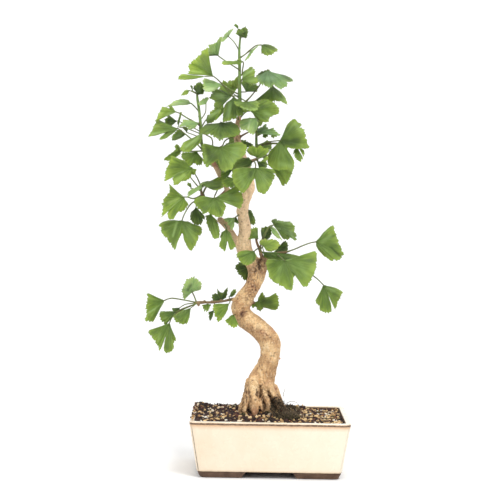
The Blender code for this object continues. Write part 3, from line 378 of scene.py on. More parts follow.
# ------------------------------------------------------------- colours and light
WORLD_LIGHT, KEY_LIGHT, FILL_LIGHT, BACK_LIGHT = 0.74, 28.0, 9.5, 27.0
WOOD_VOXEL = 0.86
GLAZE_LIGHT, GLAZE_WARM, GLAZE_LIT_SIDE = srgb(234, 219, 196), srgb(228, 210, 184), srgb(239, 231, 210)
GLAZE_TAN, GLAZE_BREAK, GLAZE_CORNER = srgb(206, 161, 116), srgb(84, 56, 36), srgb(98, 78, 58)
CLAY_DARK, CLAY_LIGHT = srgb(84, 62, 48), srgb(112, 86, 68)
BARK_SHADE, BARK_TAN, BARK_LIGHT, BARK_PALE = srgb(158, 119, 78), srgb(206, 163, 114), srgb(231, 194, 143), srgb(244, 220, 178)
BARK_DEEP = srgb(112, 76, 50)
GRAIN_DARK, GRAIN_PLUM = srgb(30, 20, 19), srgb(74, 49, 46)
GRAIN_TAN, GRAIN_SAND = srgb(164, 120, 72), srgb(240, 206, 152)
GRAIN_OLIVE, GRAIN_RED, GRAIN_BROWN = srgb(136, 112, 62), srgb(112, 62, 46), srgb(78, 48, 36)
GRAIN_PALE = srgb(244, 238, 224)
# leaf hues: face, margin, near the joint, sheen
# The hues are partly painted light: blue carries a painted sheen of the sky for leaves that face up, and dark and deep
# are the leaf green painted in shade, for leaves facing down and leaves inside the crown.
HUES = {
    "face": ((104, 132, 44), (140, 162, 58), (76, 102, 42), (152, 180, 106)),
    "bright": ((120, 148, 46), (154, 176, 62), (88, 116, 44), (168, 192, 100)),
    "pale": ((146, 176, 104), (174, 194, 110), (118, 152, 92), (192, 212, 156)),
    "blue": ((104, 138, 82), (140, 168, 84), (80, 112, 70), (156, 190, 144)),
    "dark": ((62, 88, 28), (104, 126, 42), (42, 62, 22), (124, 150, 86)),
    "yellow": ((134, 158, 58), (164, 182, 74), (104, 130, 54), (178, 200, 112)),
    "deep": ((82, 110, 38), (124, 146, 52), (56, 80, 32), (142, 170, 104)),
}
# ------------------------------------------------------------- trunk and limbs
# u, v, depth y, radius in sheet units (one unit is 1.276 mm at the trunk)
UNIT = 1.276
TRUNK = [
    (262.0, 416, 2, 22.0), (262.0, 409, 2, 19.5), (261.8, 398, 2, 17.3), (261.5, 390, 2, 15.6),
    (261.2, 383, 1, 13.8), (263.0, 376, 0, 11.9), (266.4, 368, -2, 10.5),
    (269.0, 360, -4, 10.2), (270.4, 352, -6, 10.1), (270.2, 344, -7, 10.3),
    (266.8, 336.6, -7, 10.3), (259.3, 329, -5, 10.4), (249.8, 321.6, -1, 9.9),
    (243.2, 315, 3, 9.5), (240.5, 307.5, 6, 9.5), (243.4, 299.6, 9, 9.3),
    (249.0, 291.8, 11, 8.3), (253.7, 283.5, 12, 7.7), (256.6, 274, 12, 7.8),
    (254.8, 265, 10, 7.9), (248.5, 257, 7, 7.6), (244.0, 248.5, 4, 7.2),
    (244.3, 240, 1, 6.5), (245.0, 230, -2, 6.0), (244.4, 222, -4, 5.5),
    (243.0, 215, -6, 5.2), (242.3, 209, -7, 5.8), (244.5, 202, -8, 5.2),
    (247.2, 195, -8, 5.0), (249.8, 187, -7, 4.9), (249.0, 178, -5, 4.6),
    (246.2, 168, -3, 4.4), (243.0, 158, -1, 4.1), (240.3, 150, 0, 3.8),
    (237.6, 141, 0, 3.5), (237.0, 132, 0, 3.1), (238.0, 123, 0, 2.6),
    (239.2, 117, 0, 2.1),
]
# woody limbs and twigs that grow from the trunk: each starts inside the wood
LIMBS = {
    "left_stub": [(243, 250, 4, 3.2), (236, 241.5, 1, 3.1), (230, 231, -2, 2.9),
                  (225, 224.5, -4, 2.8), (219.3, 219.3, -6, 2.7)],
    "left_limb": [(244, 205, -7, 3.4), (236, 198.5, -9, 3.0), (228, 190, -11, 2.7),
                  (221.5, 179, -13, 2.5), (217.5, 170, -14, 2.5), (213.5, 163, -15, 2.4),
                  (209.5, 158.5, -16, 1.9)],
    "spur": [(227, 189.5, -11, 1.9), (218, 194.5, -14, 1.6), (210, 196, -17, 1.5),
             (203, 194.3, -19, 1.7), (201, 189, -20, 1.2)],
    "fork": [(257, 271, 12, 4.0), (262, 263.5, 9, 2.8), (261.5, 255, 6, 2.1),
             (259, 248, 3, 1.6), (256.6, 241.5, 1, 1.3), (255.2, 234.5, -1, 1.1)],
    "fork_stub": [(262, 277, 11, 3.0), (265, 268, 8, 2.3), (266.6, 259, 6, 2.1),
                  (266.8, 254.5, 5, 1.5)],
    "fork_twig": [(264, 262, 8, 1.9), (270, 255.6, 5, 1.4), (278, 253, 2, 1.3),
                  (286, 252.2, 0, 1.2)],
    "low_twig": [(240, 298, 9, 2.0), (231, 299.5, 4, 1.6), (222, 301.3, -1, 1.4),
                 (212, 302.3, -6, 1.3), (204, 302.3, -10, 1.4), (197, 302.8, -13, 1.9)],
    "top_twig": [(238, 139, 0, 1.6), (241.5, 136, -2, 1.2), (246, 133.4, -5, 1.0),
                 (249.3, 131.8, -7, 0.9)],
    "back_spur": [(249, 300, 12, 2.6), (253, 302.5, 22, 1.7), (255.5, 303.5, 27, 1.2)],
    "right_spur": [(247, 163, 0, 2.4), (253, 160.5, 3, 1.8), (257, 158.6, 5, 1.5)],
}
# green shoots of this year
STEMS = {
    "stem_leader": [(239.6, 114.6, 0, 1.55), (240, 107, -1, 1.45), (240, 100, -2, 1.35),
                    (239.5, 85, -3, 1.25), (239.5, 74, -2, 1.2), (239.5, 62, 0, 1.1),
                    (239.3, 50, 2, 0.95), (240.2, 38, 2, 0.7)],
    "stem_left": [(207.9, 156.4, -16.5, 1.3), (204.0, 151, -18, 1.25), (201.3, 141, -20, 1.2),
                  (200.6, 126, -22, 1.15), (199.3, 112, -22, 1.05), (197.6, 100, -21, 0.95),
                  (196.9, 92.5, -20, 0.7)],
    "stem_right": [(257.3, 156.2, 6, 1.2), (256.4, 146, 8, 1.1), (256.5, 133, 10, 1.0),
                   (257.3, 121, 11, 0.9), (257.6, 112.5, 10, 0.75)],
}
# surface roots: from the flare outwards, each with its direction round the
# trunk (degrees, 0 = right, 90 = back), reach (mm) and girth (mm)
ROOTS = [(-160, 31, 8.0), (-118, 30, 8.5), (-70, 30, 6.5), (-38, 33, 6.5),
         (2, 31, 7.5), (48, 30, 7.0), (100, 31, 8.0), (150, 31, 7.5)]
# --------------------------------------------------------------------- leaves
# One row a leaf: name, J = where stalk meets blade (u, v), depth of J (mm),
# tilt = how the depth grows to the right and upwards (mm per mm), cup = how
# far the side lobes bend back (mm), the margin from one corner to the other,
# and the stalk from J to the wood or shoot that carries it.
LEAVES = [
 ("leaf_top_01", (240.7, 37.6), -1, (0.2, 0.3), 4, [(235.5, 33.5), (238, 29.5), (241, 29), (244, 27.6), (248, 30), (247.5, 34), (246, 38)], [], "stem_leader"),
 ("leaf_top_02", (213, 76), -12, (0.25, 0.35), 6, [(207.8, 47.5), (202, 51), (200, 54.5), (195, 59), (190, 63), (188.2, 67.5), (190, 70), (187.6, 73.6), (193, 75)], [(217, 79), (221, 83), (229, 92), (239.8, 103.5)], "stem_leader"),
 ("leaf_top_03", (218.5, 56), 19, (0.3, -0.5), 4, [(222.5, 36.3), (220, 37.5), (217.5, 40.5), (215, 43), (212, 44.3), (209.5, 44.3), (208.2, 48), (208, 52), (209, 56.2)], [(224, 60), (231, 64.6), (239.5, 70)], "stem_leader"),
 ("leaf_top_04", (261.4, 45), 6, (0.2, 0.9), 4, [(264, 43.8), (269, 44.5), (273, 46), (278, 50), (274, 53), (270, 55.3), (266, 55.2), (262, 54), (261, 50)], [(256, 45.6), (250, 50), (245, 54.5), (239.5, 58)], "stem_leader"),
 ("leaf_top_05", (241.5, 80), -10, (-0.4, 0.9), 4, [(243, 72), (248, 68.6), (250.3, 66.8), (252.8, 67.5), (255.3, 71), (254.6, 76.5), (257.5, 78), (256.8, 83.5), (252, 84), (246.5, 83)], [(240, 86)], "stem_leader"),
 ("leaf_top_06", (267, 70.5), 16, (0, 1.5), 5, [(256, 76.5), (258, 82), (262, 84.5), (265, 86), (271, 87.5), (273.5, 84.3), (276, 86.5), (281, 89), (284, 87.5), (287, 85.5), (288, 82.3), (293.5, 80.7), (290, 77.5), (285, 75)], [(263.5, 78), (260, 84.5), (257, 89), (252, 95), (247, 101), (240.2, 109)], "stem_leader"),
 ("leaf_top_07", (272.5, 85.5), 26, (0, 0.9), 6, [(251.8, 103.2), (257, 105), (264, 104.5), (270, 103.5), (274, 101.3), (280, 101.5), (284, 103), (287.2, 104.5), (286, 99), (283.8, 95.5), (280, 91)], [(269, 94), (263, 104), (257.6, 113)], "stem_right"),
 ("leaf_top_08", (250.5, 111), -10, (-0.25, 0.35), 7, [(257.5, 100.8), (265, 98.8), (270, 100.6), (274, 102.8), (277.3, 106), (279.7, 111.5), (277, 114.3), (270, 117.2), (269.3, 120), (267, 122.2), (262, 122.3), (258, 120.3), (254.5, 116.8)], [(246, 112), (240.3, 117.5)], "wood"),
 ("leaf_core_01", (246, 101.5), -30, (0, 1.5), 4, [(233.5, 101.3), (236, 105), (241, 107.5), (244, 109.5), (250, 110.8), (256, 110.3), (259, 107), (259.2, 103), (256.3, 100.3)], [(243, 99.6), (240.2, 98.3)], "stem_leader"),
 ("leaf_core_02", (222, 84.5), -18, (0.4, 0.8), 3, [(214, 80.8), (208, 79.3), (204, 78.2), (203, 82), (202.8, 86), (203.5, 89.3), (207, 91.8), (212, 91.6), (217, 89.5)], [(225.5, 87), (232, 91), (239.6, 94.5)], "stem_leader"),
 ("leaf_core_03", (232.8, 88.8), 12, (0, -0.5), 3, [(220.5, 84.7), (223, 80.3), (227, 82.3), (231, 84.3), (233, 81.3), (238, 76.3), (239, 84), (238.3, 88.8)], [(233, 93), (239.6, 98.5)], "stem_leader"),
 ("leaf_core_04", (232, 96), -12, (0.2, 1.0), 3, [(226, 92.2), (222, 90.3), (216, 89), (213.3, 91), (211.3, 94), (210, 98.3), (214, 100.3), (217.5, 104), (219, 108), (222.3, 105), (223, 101.2), (228, 99.3)], [(235, 99), (239.9, 107)], "stem_leader"),
 ("leaf_core_05", (205.5, 120.5), -24, (-0.5, 0.9), 3, [(207.3, 115), (213, 113), (218, 108.8), (221.8, 105.3), (221.3, 110), (219, 113.7), (215.5, 119), (213, 122.3), (207, 123.7)], [(203, 124.5), (200.7, 129)], "stem_left"),
 ("leaf_core_06", (233.5, 97), -18, (0, 0.5), 3, [(226.3, 102.5), (224, 107), (223.3, 112), (222.8, 117), (223.3, 122.2), (229, 120.7), (234, 119.2), (238, 117.2), (243, 114.6), (248, 110.3), (246, 106), (242, 102.8), (238, 99)], [(236.5, 108), (238.4, 120)], "wood"),
 ("leaf_core_07", (221, 122.3), -18, (0, 1.35), 4, [(206.5, 123.8), (203, 126.8), (200, 130), (202, 134.3), (208, 134.3), (213, 136.2), (217, 138.2), (219, 140.3), (222, 140.3), (225, 138.2), (230, 137.2), (236, 136.3), (239.3, 134), (240.2, 130), (238.3, 126.5), (235, 123.5), (231, 121.3)], [(227, 125.5), (236.5, 131)], "wood"),
 ("leaf_core_08", (256.2, 118), -22, (-0.3, 0.8), 3, [(247, 118.2), (241, 119.5), (239.3, 124), (240.3, 128.2), (244, 130.2), (247.8, 130.3), (249, 133.2), (253, 134.3), (255.6, 132.3), (257.2, 128), (258.5, 123)], [(257.3, 123)], "stem_right"),
 ("leaf_left_01", (198, 95), -25, (0.2, 0.4), 3, [(193, 88.5), (195.3, 84.5), (200, 81.8), (203.5, 85.3), (204.7, 90), (203.2, 94.3)], [], "stem_left"),
 ("leaf_left_02", (191.5, 103.5), -8, (0.4, 1.6), 3, [(189, 100.3), (185, 99), (180, 99), (176, 100.3), (171, 103.3), (167, 106.7), (173, 104.3), (175.3, 102.7), (179, 104.3), (181.3, 105.3), (187, 105)], [(195, 107), (199.3, 112)], "stem_left"),
 ("leaf_left_03", (176, 112), -35, (0.2, 0.7), 3, [(174, 108.7), (171, 105.2), (168.5, 105.2), (169.3, 108.8), (164.3, 106.5), (161.8, 108), (158.8, 113), (156.8, 118), (155.3, 121.3), (158.7, 119.5), (161, 115.3), (165, 113.2), (171, 112.5)], [(180, 113.5), (188, 118.5), (193, 121), (200.6, 126)], "stem_left"),
 ("leaf_left_04", (178, 128.5), -44, (0.1, 0.9), 4, [(158, 119.3), (155.3, 123), (152.8, 128), (151.8, 131), (148.3, 136.3), (155, 135.6), (163, 133.3), (165.5, 132.3), (162, 135.6), (159.3, 139.5), (165, 138.8), (169, 136.2), (175, 132)], [(184, 133), (190, 138), (196, 143), (204.6, 152.3)], "stem_left"),
 ("leaf_left_05", (185.3, 134.3), -4, (0.3, -0.6), 3, [(181.5, 129.5), (178, 129.8), (175, 132.3), (172, 137), (172.2, 140.6), (177, 140), (181, 138), (184.3, 136)], [(190, 138), (196, 141.3), (201.9, 144)], "stem_left"),
 ("leaf_left_06", (199, 123), -34, (0.3, 1.0), 3, [(194, 121), (189, 120), (183.3, 119.8), (181.8, 123), (179, 126.8), (184, 125.8), (188, 128.8), (192, 129.5), (196, 127.2)], [(200.3, 128)], "stem_left"),
 ("leaf_left_07", (203, 133), -54, (0.2, 0.8), 4, [(200, 138), (195, 139.2), (190, 139.8), (184.3, 141.8), (181.8, 145.3), (180, 149.8), (184, 151.8), (188, 152.3), (192, 150.3), (196, 146.8), (199.7, 143.2), (202.3, 138.3)], [(207, 135.4), (212, 139), (212, 148), (206.5, 154)], "stem_left"),
 ("leaf_flank_01", (181, 151), -4, (0.4, 0.4), 3, [(180.2, 147.3), (177.5, 144.2), (175, 144.8), (174.8, 150), (170, 153.8), (166, 156.8), (163.8, 159.8), (169, 160.8), (176, 157.3), (180.7, 153.8)], [(188, 151.5), (196, 151.2), (204, 151)], "stem_left"),
 ("leaf_flank_02", (192, 168), -46, (0.1, 0.45), 4, [(186, 161), (182, 159.8), (176, 157.3), (171.8, 155.8), (169.8, 160), (168.3, 165), (165.8, 170), (164.8, 175), (164.8, 181.3), (170, 176.8), (177, 173), (173.3, 177), (172.8, 181), (174.3, 184.8), (178, 184.5), (181, 181.8), (187, 180.3), (190.3, 177.8), (192.3, 174.8), (195.3, 174.3), (196.5, 169)], [(195, 174), (198, 179.5), (201, 187)], "wood"),
 ("leaf_flank_03", (202.5, 185), -34, (0, 1.6), 3, [(206, 181), (212, 180.5), (218, 177.3), (222.7, 181.3), (223.7, 185), (221.2, 188.8), (215, 190.3), (210, 188.8), (206, 187)], [(201.3, 190)], "wood"),
 ("leaf_flank_04", (184, 197), -36, (0, 0.35), 4, [(179, 195), (173, 188.8), (169, 183.7), (169.8, 190), (167.8, 194), (165.3, 197), (163.2, 200), (161.8, 205), (162.8, 209), (161.3, 217.3), (166, 211.5), (170.3, 207), (174.3, 203.3), (169, 210), (167.3, 214), (168.8, 218.8), (173, 219.3), (176.2, 214.7), (178.2, 212.2), (184, 210.8), (188.3, 204.7), (186, 200.8)], [(188, 197.2), (194, 198.5), (203, 194.5)], "wood"),
 ("leaf_front_01", (220, 147), -40, (0, 0.5), 5, [(212, 145), (203, 143.8), (201.8, 150), (202.8, 157), (203.2, 162), (207, 167.3), (210, 164.8), (213, 162.8), (217.5, 160.5), (219.3, 166), (221, 169.7), (224, 171.8), (228, 170.3), (232, 169.3), (233.6, 166), (236.2, 161.3), (241.2, 158.2), (244.3, 155.2), (246.7, 150), (246.7, 145), (240, 142), (233, 142.7), (228, 144.3)], [(222.5, 145.5), (226, 140), (237, 135)], "wood"),
 ("leaf_front_02", (252.8, 161.6), -16, (0, -0.5), 3, [(249, 157.3), (244, 157.8), (238, 159.3), (234.3, 162), (234.8, 167.2), (240, 168.3), (247, 167.8), (251.5, 166.3)], [(250.5, 162)], "wood"),
 ("leaf_front_03", (255.5, 168), -52, (0, 0.35), 4, [(250, 168.1), (245, 167.3), (236, 168.3), (232.3, 171), (231.8, 176), (232.8, 181), (234.8, 185.2), (237.8, 188.2), (242, 193.3), (245.2, 191.7), (248.7, 187.2), (254.4, 179), (256, 185.2), (257.4, 190.7), (260, 192.6), (264, 194), (268.3, 190.2), (272.3, 182.2), (275.6, 174), (273.7, 169.8), (268, 168.4), (262, 167.1)], [(255.6, 164.5), (254, 160.6)], "wood"),
 ("leaf_front_04", (215, 198), -42, (0, 0.4), 4, [(225, 195.3), (229, 191.3), (235, 186.3), (238, 185.8), (240.3, 190), (242.3, 195), (243.3, 200), (240.3, 208.6), (235, 205.3), (231, 202.7), (225.5, 201.5), (225.7, 207), (222.2, 216.3), (218, 217.3), (211, 214.3), (208, 212.3), (204, 213.8), (200.8, 210.7), (195.8, 206.2), (194.2, 202), (195.8, 198), (203, 195.8)], [(214.5, 196.5), (217.8, 189), (221, 180)], "wood"),
 ("leaf_right_01", (280, 140.5), 6, (0, 0.2), 5, [(284.8, 131), (286.8, 125), (290.3, 121.2), (294, 118.7), (297.2, 121.3), (301.2, 124.3), (301.7, 127.4), (304.2, 129.8), (305.2, 134), (306.8, 138.5), (307.3, 143), (309.3, 147.6), (305, 148.8), (295, 149), (287.3, 148.4), (290.2, 154), (293.7, 160), (294.3, 165), (292.2, 171.8), (287, 169.8), (277, 170.3), (270.8, 167.7), (267.8, 163), (267.3, 158), (269.8, 151.3), (275, 147.2)], [(272, 141.3), (265, 142.6), (256.4, 146)], "stem_right"),
 ("leaf_right_02", (271, 154), 28, (0.1, 0.2), 3, [(268.5, 163), (274, 171), (276, 175.2), (279, 179.2), (283, 186), (288.2, 181.9), (290.6, 176.9), (292.2, 171.6), (289, 164)], [(264, 156.5), (257.5, 158.5)], "wood"),
 ("leaf_right_03", (257.5, 133.5), -4, (-0.2, 1.2), 3, [(256.7, 129.3), (262, 126.7), (265.5, 124.2), (269, 128.8), (273.5, 127.7), (275.2, 130.8), (278.2, 132.8), (280.3, 135.5), (274, 135.2), (271, 133.7), (264, 133.2)], [(256.6, 137)], "stem_right"),
 ("leaf_right_04", (256.7, 157.5), -26, (0, -0.3), 3, [(250, 155), (246.8, 151), (248.8, 146.8), (253, 145.2), (256.5, 148), (259, 145.7), (262, 146.3), (265, 148.3), (268.2, 147.8), (269, 151), (267.2, 154.2), (262, 157.3)], [(257.6, 159.3)], "wood"),
 ("leaf_waist_01", (182, 220.5), -28, (0, 0.3), 4, [(174, 219.8), (166, 220.7), (159.2, 224.3), (160.8, 229), (162.3, 234), (166.3, 238.2), (170.8, 244.2), (175, 250), (177.7, 242), (182.3, 233.5), (184, 240), (188, 248.2), (191, 250.6), (195.2, 245.7), (197.7, 240), (200.3, 235), (202.3, 231), (200.2, 226.3), (195, 224.7), (188, 221.2)], [(184.5, 214), (190, 205), (196.5, 200.3), (207, 196.6)], "wood"),
 ("leaf_waist_02", (210.5, 213.5), -24, (0, 0.2), 2, [(205.3, 215.5), (206.3, 222), (208.3, 228), (211.8, 235), (213.8, 238.8), (217.7, 238.3), (219.8, 235), (219.2, 228), (217, 220)], [(207, 206), (204, 195.5)], "wood"),
 ("leaf_limb_01", (226.5, 229), -24, (0, 0.3), 3, [(221.8, 232), (220.3, 236), (220.8, 241), (219, 245.6), (225, 250.6), (227.5, 240.5), (229, 247.7), (231.5, 249.8), (235.6, 246.2), (233.2, 240.5), (230.8, 233)], [(225.5, 226), (223.5, 223.3)], "wood"),
 ("leaf_limb_02", (254.5, 251), -24, (0.2, 0.5), 3, [(250, 250.7), (244, 250.4), (238, 252.3), (236.7, 255), (238.1, 259), (241, 262.5), (245, 265.6), (249, 264.8), (252, 263.3), (255.2, 260.2), (256.5, 255)], [(257, 249), (259.2, 248.4)], "wood"),
 ("leaf_fork_01", (263, 246), -18, (-0.2, 0.6), 3, [(259.3, 243.7), (260.3, 240), (265, 239), (270, 239), (275, 239.7), (279.6, 243), (278.7, 247.2), (275, 250.6), (270, 251.6), (266, 250.6)], [(261, 249), (260.2, 252)], "wood"),
 ("leaf_fork_02", (273.5, 225), 8, (0.1, 0.7), 3, [(271, 220.8), (274, 218.8), (278, 219.8), (284, 221.3), (290, 221.7), (294.3, 225.8), (294.8, 231), (297, 237), (295.2, 240.6), (291, 238.2), (287, 239.6), (283, 238.8), (281.3, 235.5), (283, 231), (278, 228.5)], [(269.5, 226.3), (265.5, 232), (261, 243), (260.4, 250.5)], "wood"),
 ("leaf_fork_03", (315.5, 241.8), -6, (0, 0.25), 5, [(320.8, 236), (324, 231.8), (332.6, 225.3), (334.7, 231), (337.7, 239), (340.7, 247), (343.6, 253), (342.2, 256.9), (337, 261), (335, 258.8), (332, 261.3), (327, 258), (323, 255.3), (317.8, 249.2), (315.8, 245)], [(310, 243), (303, 245.5), (295, 249), (286, 252.2)], "wood"),
 ("leaf_fork_04", (284.5, 260.5), -34, (0, 0.3), 4, [(275, 259.5), (267, 259.8), (266.8, 268), (269.8, 278), (275.8, 283.2), (279, 285), (284, 287.3), (287, 289.6), (292.2, 289.3), (294.4, 275.5), (298.2, 280), (304.6, 287.6), (309.2, 283.2), (312.3, 277.2), (315.8, 269), (316.8, 261), (315.7, 251.4), (308, 253.2), (303.8, 254.3), (300, 257.2), (292, 260)], [(281, 257.5), (276.5, 254)], "wood"),
 ("leaf_fork_05", (323.5, 285), 14, (0, 0.2), 3, [(320.8, 290), (319.8, 295), (316.8, 298.5), (315.4, 301.5), (319.3, 306.2), (319.8, 309.5), (323, 312), (328.5, 313), (331.6, 310.7), (330.7, 303), (328.6, 296), (331.8, 300), (334.2, 305), (335.8, 310.8), (336.8, 305), (338.6, 300.5), (342, 294), (341.9, 291.3), (336, 288), (330, 286.2)], [(318, 279.5), (313, 275.5), (303, 267), (291, 258), (284.5, 252.8)], "wood"),
 ("leaf_fork_06", (250, 267), 26, (0.2, 0.3), 2, [(246, 262.5), (240, 262.2), (236.2, 265), (235.3, 268.5), (239.8, 275.2), (245.4, 280.8), (249.5, 281), (252, 277)], [(256, 268), (262, 270)], "wood"),
 ("leaf_low_01", (164.5, 300.5), 0, (0.1, 0.4), 3, [(159, 298), (156, 296.7), (147.8, 293.2), (147.5, 298), (146.3, 304), (146, 310), (146.7, 315), (144.7, 320), (151, 322), (154.5, 319.8), (157.2, 312), (160.8, 307), (163.2, 303)], [(168, 299), (173, 298.3), (184, 300), (197, 302.6)], "wood"),
 ("leaf_low_02", (192.3, 292.3), -8, (0, -0.5), 3, [(184, 300.3), (182.8, 295), (182, 290), (184.8, 282.8), (187.3, 279), (191, 277.7), (194.5, 276.4), (196.7, 278.8), (200.6, 282), (201.6, 286), (200.2, 289.7), (196.7, 291)], [(194.3, 296.5), (196.2, 301.8)], "wood"),
 ("leaf_low_03", (190.7, 308), -28, (0, 0.3), 3, [(182, 310.2), (176.8, 313.5), (173.4, 317), (175.8, 321.5), (181, 323.8), (184.5, 324.3), (187.8, 322.2), (190, 315)], [(194, 305.5), (197, 303)], "wood"),
 ("leaf_low_04", (169.5, 323), -24, (0, 0.3), 4, [(166, 325.8), (160, 327), (154, 328.7), (148.2, 331.3), (153.2, 339), (157.8, 346.2), (159.5, 350.8), (163, 344), (165.6, 336.3), (164.2, 344), (163.8, 350.2), (166, 352.6), (170, 352.3), (174, 347.8), (173.3, 344), (176, 339), (172.8, 333)], [(172, 317.5), (178, 312), (185, 308.5), (197, 303.2)], "wood"),
 ("leaf_low_05", (229, 303.7), -22, (0, 0.3), 3, [(219, 303.4), (213.2, 304.8), (213.4, 310), (215.5, 317), (218.5, 321.6), (223.2, 317.7), (227.8, 309.7)], [(230, 301.5), (229.5, 299.8)], "wood"),
 ("leaf_low_06", (256.5, 304), 30, (0, 0.2), 3, [(258, 298), (262, 292.4), (265.5, 296.3), (269, 296.7), (273, 294.7), (276.5, 293.2), (278.8, 301), (277.8, 308.5), (273, 310), (265, 308), (260, 310.8), (256.5, 309.3)], [(255.5, 303.6)], "wood"),
]
# A leaf is drafted flat on the front sheet and given depth by its tilt, its
# cup and a slight bow, so its outline on the sheet never changes.
BOW = 2.0


def corners_kept(margin, count):
    """The margin with its least telling points left out, down to count."""
    m = [tuple(map(float, p)) for p in margin]
    while len(m) > count:
        area = [abs((m[i][0] - m[i - 1][0]) * (m[i + 1][1] - m[i - 1][1])
                    - (m[i + 1][0] - m[i - 1][0]) * (m[i][1] - m[i - 1][1]))
                for i in range(1, len(m) - 1)]
        m.pop(1 + int(np.argmin(area)))
    return np.array(m)


def blade_point(joint, depth, tilt, cup, m, s, t, bow=BOW):
    """The point of a blade on the ray from its joint to the margin point m:
    t is the share of the way out, s the share of the way round."""
    j = at(joint[0], joint[1], depth)
    u = joint[0] + t * (m[0] - joint[0])
    v = joint[1] + t * (m[1] - joint[1])
    p = at(u, v, depth)
    y = (depth + tilt[0] * (p[0] - j[0]) + tilt[1] * (p[2] - j[2])
         + cup * t * t * (2 * s - 1) ** 2 - bow * 4 * t * (1 - t))
    return at(u, v, y)
# ------------------------------------------------------ camera, light and floor
def make_camera():
    cd, sd = math.cos(VIEW_DOWN), math.sin(VIEW_DOWN)
    cr, sr = math.cos(VIEW_ROLL), math.sin(VIEW_ROLL)
    right, up, ahead = np.array((1, 0, 0)), np.array((0, sd, cd)), np.array((0, cd, -sd))
    x, y = cr * right + sr * up, cr * up - sr * right
    spot = place((VIEW_X, VIEW_Y, VIEW_Z))
    data = bpy.data.cameras.new("camera")
    data.sensor_width = 36.0
    data.lens = SHEET_FOCUS / 500.0 * 36.0
    data.clip_start, data.clip_end = 0.05, 50.0
    camera = bpy.data.objects.new("camera", data)
    camera.matrix_world = Matrix(((x[0], y[0], -ahead[0], spot[0]), (x[1], y[1], -ahead[1], spot[1]),
                                  (x[2], y[2], -ahead[2], spot[2]), (0, 0, 0, 1)))
    bpy.context.scene.collection.objects.link(camera)
    bpy.context.scene.camera = camera


def area_light(name, spot, target, size, power, colour=(1, 1, 1), size_y=None):
    data = bpy.data.lights.new(name, "AREA")
    data.energy, data.color, data.size = power, colour, size
    if size_y:
        data.shape, data.size_y = "RECTANGLE", size_y
    lamp = bpy.data.objects.new(name, data)
    lamp.location = spot
    lamp.rotation_euler = (Vector(target) - Vector(spot)).to_track_quat("-Z", "Y").to_euler()
    bpy.context.scene.collection.objects.link(lamp)


def make_stage():
    scene = bpy.context.scene
    scene.view_settings.view_transform = "Standard"
    scene.view_settings.look = "None"
    world = bpy.data.worlds.new("studio")
    world.use_nodes = True
    back = world.node_tree.nodes["Background"]
    back.inputs["Color"].default_value = (1.0, 1.0, 1.0, 1.0)
    back.inputs["Strength"].default_value = WORLD_LIGHT
    scene.world = world
    area_light("key", (0.75, -1.25, 1.9), (0, 0, 0.3), 0.8, KEY_LIGHT)
    area_light("fill", (-1.5, -1.1, 0.9), (0, 0, 0.25), 1.4, FILL_LIGHT)
    area_light("back", (0.0, 1.3, 2.6), (0, 3.2, 0.9), 2.6, BACK_LIGHT)
    finish = Finish("floor_paper", 0.9)
    p = finish.coords()
    finish.set(colour=finish.mix(finish.noise(p, 400.0, 2.0), (0.95, 0.95, 0.95), (0.93, 0.93, 0.93)),
               normal=finish.bump(finish.noise(p, 0.8, 2.0), 0.02))
    mesh = bpy.data.meshes.new("floor")
    # a sheet of paper that curves up behind
    rows = [(-3.0, 0.0), (2.4, 0.0)]
    for i in range(1, 9):
        a = math.radians(90 * i / 8)
        rows.append((2.4 + 0.8 * math.sin(a), 0.8 - 0.8 * math.cos(a)))
    rows.append((3.2, 4.0))
    verts, faces = [], []
    for y, z in rows:
        verts += [(-5.0, y, z - 0.0004), (5.0, y, z - 0.0004)]
    for i in range(len(rows) - 1):
        faces.append((2 * i, 2 * i + 1, 2 * i + 3, 2 * i + 2))
    mesh.from_pydata(verts, [], faces)
    mesh.polygons.foreach_set("use_smooth", [True] * len(faces))
    mesh.materials.append(finish.mat)
    floor = bpy.data.objects.new("floor", mesh)
    bpy.context.scene.collection.objects.link(floor)


# -------------------------------------------------------------------------- pot
def rounded(length, width, radius, z, steps=7):
    """A rounded rectangle, anticlockwise, at height z."""
    ring = []
    for k, (sx, sy) in enumerate(((1, 1), (-1, 1), (-1, -1), (1, -1))):
        for i in range(steps + 1):
            a = math.radians(90 * k + 90 * i / steps)
            ring.append((sx * (length / 2 - radius) + radius * math.cos(a),
                         sy * (width / 2 - radius) + radius * math.sin(a), z))
    return ring


def pot_size(z):
    k = (z - FOOT_HEIGHT) / (POT_HEIGHT - FOOT_HEIGHT)
    return BASE_LENGTH + k * (POT_LENGTH - BASE_LENGTH), BASE_WIDTH + k * (POT_WIDTH - BASE_WIDTH)


